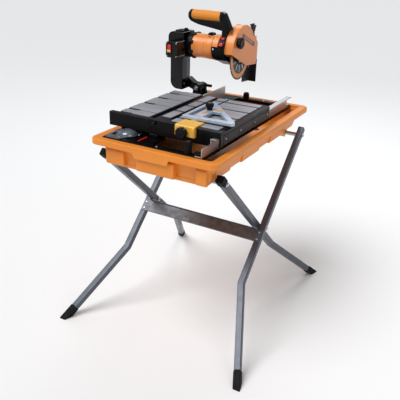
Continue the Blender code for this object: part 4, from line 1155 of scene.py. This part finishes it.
def make_arbor(hub):
    low, high = corners("arbor_shaft")
    flange_low, flange_high = corners("arbor_nut")
    seat = hub.x - (corners("saw_blade")[1].x - hub.x) - 0.0003
    back = seat - 0.0158
    rows = [(low.x, 0.0072), (low.x + 0.001, 0.0080), (back, 0.0080), (back, 0.0165),
            (back + 0.002, 0.0190), (seat, 0.0190), (seat, 0.0078), (high.x - 0.001, 0.0078),
            (high.x, 0.0068)]
    with_node("arbor_spindle", turned("saw_blade", 0, rows), "bolt_steel", "arbor_shaft")
    rows = [(flange_low.x, 0.0190), (flange_low.x + 0.0015, 0.0190), (flange_low.x + 0.0032, 0.0165),
            (flange_low.x + 0.0038, 0.0150), (flange_low.x + 0.0038, 0.0080)]
    flange = turned("saw_blade", 0, rows)
    rows = [(flange_low.x + 0.0038, 0.0115), (flange_high.x - 0.0008, 0.0115), (flange_high.x, 0.0100)]
    nut = turned("saw_blade", 0, rows, 6)
    with_node("arbor_flange_nut", join_bm(flange, nut), "bolt_steel", "arbor_nut")


def make_flap():
    """Rubber flap with the clip and the screws that hold it."""
    refined("splash_flap", "flap_rubber", 0.0008, 2)
    low, high = corners("splash_flap")
    clip = box_bm((low.x + 0.001, high.y - 0.0030, high.z - 0.016),
                  (high.x - 0.001, high.y + 0.0012, high.z - 0.001), 0.0006)
    trim("flap_clip", clip, "black_plastic", "splash_flap")
    heads = [screw_bm(Vector((x, high.y + 0.0014, high.z - 0.008)), (0, 1, 0), 0.0028, 0.0016)
             for x in (low.x + 0.007, high.x - 0.007)]
    heads += [screw_bm(Vector((low.x + 0.0063, y, 0.9290)), (1, 0, 0), 0.0036, 0.0018)
              for y in (0.3450, 0.3850)]
    trim("flap_screws", heads, "bolt_steel", "splash_flap")


GRIP_ROWS = 41


def make_handle():
    refined("handle_frame", "black_plastic", 0.0050, 4, longer=0.004)
    low, high = corners("handle_grip")
    radius = (high.z - low.z) / 2
    length = high.x - low.x
    rows = [(low.x, radius * 0.86), (low.x + 0.002, radius * 0.93), (low.x + 0.006, radius * 0.955)]
    for i in range(GRIP_ROWS):
        part = i / (GRIP_ROWS - 1)
        x = low.x + 0.010 + (length - 0.020) * part
        swell = 0.965 + 0.035 * math.sin(math.pi * part)
        groove = 0.0005 if i % 2 else 0.0
        rows.append((x, radius * swell - groove))
    rows += [(high.x - 0.006, radius * 0.955), (high.x - 0.002, radius * 0.93), (high.x, radius * 0.86)]
    with_node("handle_grip_sleeve", turned("handle_grip", 0, rows, 56), "grip_rubber", "handle_grip")
    for x, toward, word in ((low.x, -1, "left"), (high.x, 1, "right")):
        rows = [(x + toward * 0.0004, radius * 0.90), (x + toward * 0.004, radius * 0.98),
                (x + toward * 0.009, radius * 0.92), (x + toward * 0.013, radius * 0.74),
                (x + toward * 0.015, radius * 0.40)]
        end = turned("handle_grip", 0, rows)
        trim("grip_end_" + word, end, "black_plastic", "handle_grip")


def make_water():
    low, high = corners("water_fitting")
    mid = middle("water_fitting")
    rows = [(low.z, 0.0090), (low.z + 0.004, 0.0090), (low.z + 0.005, 0.0075), (low.z + 0.020, 0.0072),
            (low.z + 0.022, 0.0095, True), (low.z + 0.030, 0.0100, True), (low.z + 0.031, 0.0110),
            (high.z - 0.002, 0.0110), (high.z, 0.0095)]
    bm = turned("water_fitting", 2, rows, 60, (10, 0.0008))
    rows = [(0.0, 0.0045), (0.004, 0.0045), (0.005, 0.0055), (0.008, 0.0042), (0.009, 0.0052),
            (0.012, 0.0040), (0.013, 0.0048), (0.016, 0.0036)]
    barb = lathe_bm(rows, 2, (0, 0, 0), 24)
    placed(barb, Vector((mid.x, mid.y + 0.008, high.z - 0.008)), (1, 0, 0), (0, 1, 0.2))
    with_node("water_fitting_body", join_bm(bm, barb), "fitting_blue", "water_fitting")
    refined("valve_lever", "black_plastic", 0.0012, 3)


# ---------------------------------------------------------------- stage

FLOOR_GAP = 0.0002
SOFT_LIGHT = 0.29
SUN_ENERGY = 2.3
SUN_ANGLE = math.radians(38.0)
SENSOR_WIDTH = 36.0
LENS = 51.68


def make_stage():
    bm = bmesh.new()
    bmesh.ops.create_grid(bm, x_segments=1, y_segments=1, size=40.0)
    mesh = bpy.data.meshes.new("floor")
    bm.to_mesh(mesh)
    bm.free()
    floor = bpy.data.objects.new("floor", mesh)
    bpy.context.scene.collection.objects.link(floor)
    floor.location.z = -FLOOR_GAP
    paint = bpy.data.materials.new("floor_paint")
    paint.use_nodes = True
    shader = paint.node_tree.nodes["Principled BSDF"]
    shader.inputs["Base Color"].default_value = (0.90, 0.90, 0.90, 1.0)
    shader.inputs["Roughness"].default_value = 0.9
    shader.inputs["Specular IOR Level"].default_value = 0.1
    mesh.materials.append(paint)

    world = bpy.data.worlds.new("studio")
    bpy.context.scene.world = world
    world.use_nodes = True
    nodes, links = world.node_tree.nodes, world.node_tree.links
    soft = nodes["Background"]
    soft.inputs["Color"].default_value = (0.93, 0.96, 1.0, 1.0)
    soft.inputs["Strength"].default_value = SOFT_LIGHT
    white = nodes.new("ShaderNodeBackground")
    white.inputs["Color"].default_value = (1.0, 1.0, 1.0, 1.0)
    path = nodes.new("ShaderNodeLightPath")
    mix = nodes.new("ShaderNodeMixShader")
    links.new(path.outputs["Is Camera Ray"], mix.inputs[0])
    links.new(soft.outputs["Background"], mix.inputs[1])
    links.new(white.outputs["Background"], mix.inputs[2])
    links.new(mix.outputs["Shader"], nodes["World Output"].inputs["Surface"])

    target = Vector((0.0, 0.0, 0.65))
    sun = bpy.data.lights.new("key", "SUN")
    sun.energy = SUN_ENERGY
    sun.angle = SUN_ANGLE
    lamps = [("key", sun, (-1.0, -1.5, 3.6))]
    for name, place, size, power in (("fill", (2.6, -1.9, 2.0), 1.8, 15.0),
                                     ("back", (-0.6, 2.4, 2.8), 1.6, 26.0)):
        light = bpy.data.lights.new(name, "AREA")
        light.shape = "DISK"
        light.size = size
        light.energy = power
        lamps.append((name, light, place))
    for name, light, place in lamps:
        lamp = bpy.data.objects.new(name, light)
        lamp.location = place
        lamp.rotation_euler = (target - Vector(place)).to_track_quat("-Z", "Y").to_euler()
        bpy.context.scene.collection.objects.link(lamp)


def make_camera():
    data = bpy.data.cameras.new("camera")
    data.sensor_width = SENSOR_WIDTH
    data.lens = LENS
    camera = bpy.data.objects.new("camera", data)
    right = Vector((0.8726047, 0.4874606, 0.0307116))
    back = Vector((0.4319996, -0.7996051, 0.4171426))
    right = (right - back.normalized() * right.dot(back.normalized())).normalized()
    up = back.normalized().cross(right)
    turn = Matrix((right, up, back.normalized())).transposed().to_4x4()
    camera.matrix_world = Matrix.Translation((0.99188, -1.87468, 1.42647)) @ turn
    bpy.context.scene.collection.objects.link(camera)
    bpy.context.scene.camera = camera
    bpy.context.scene.view_settings.view_transform = "Standard"


make_camera()
make_looks()
make_stand()
make_tray()
make_tray_fittings()
make_rails()
make_side_table()
make_carriage()
make_guide()
make_gauge()
make_column()
make_bracket()
make_motor()
make_gearbox()
make_guard()
make_blade()
make_flap()
make_handle()
make_water()
make_stage()
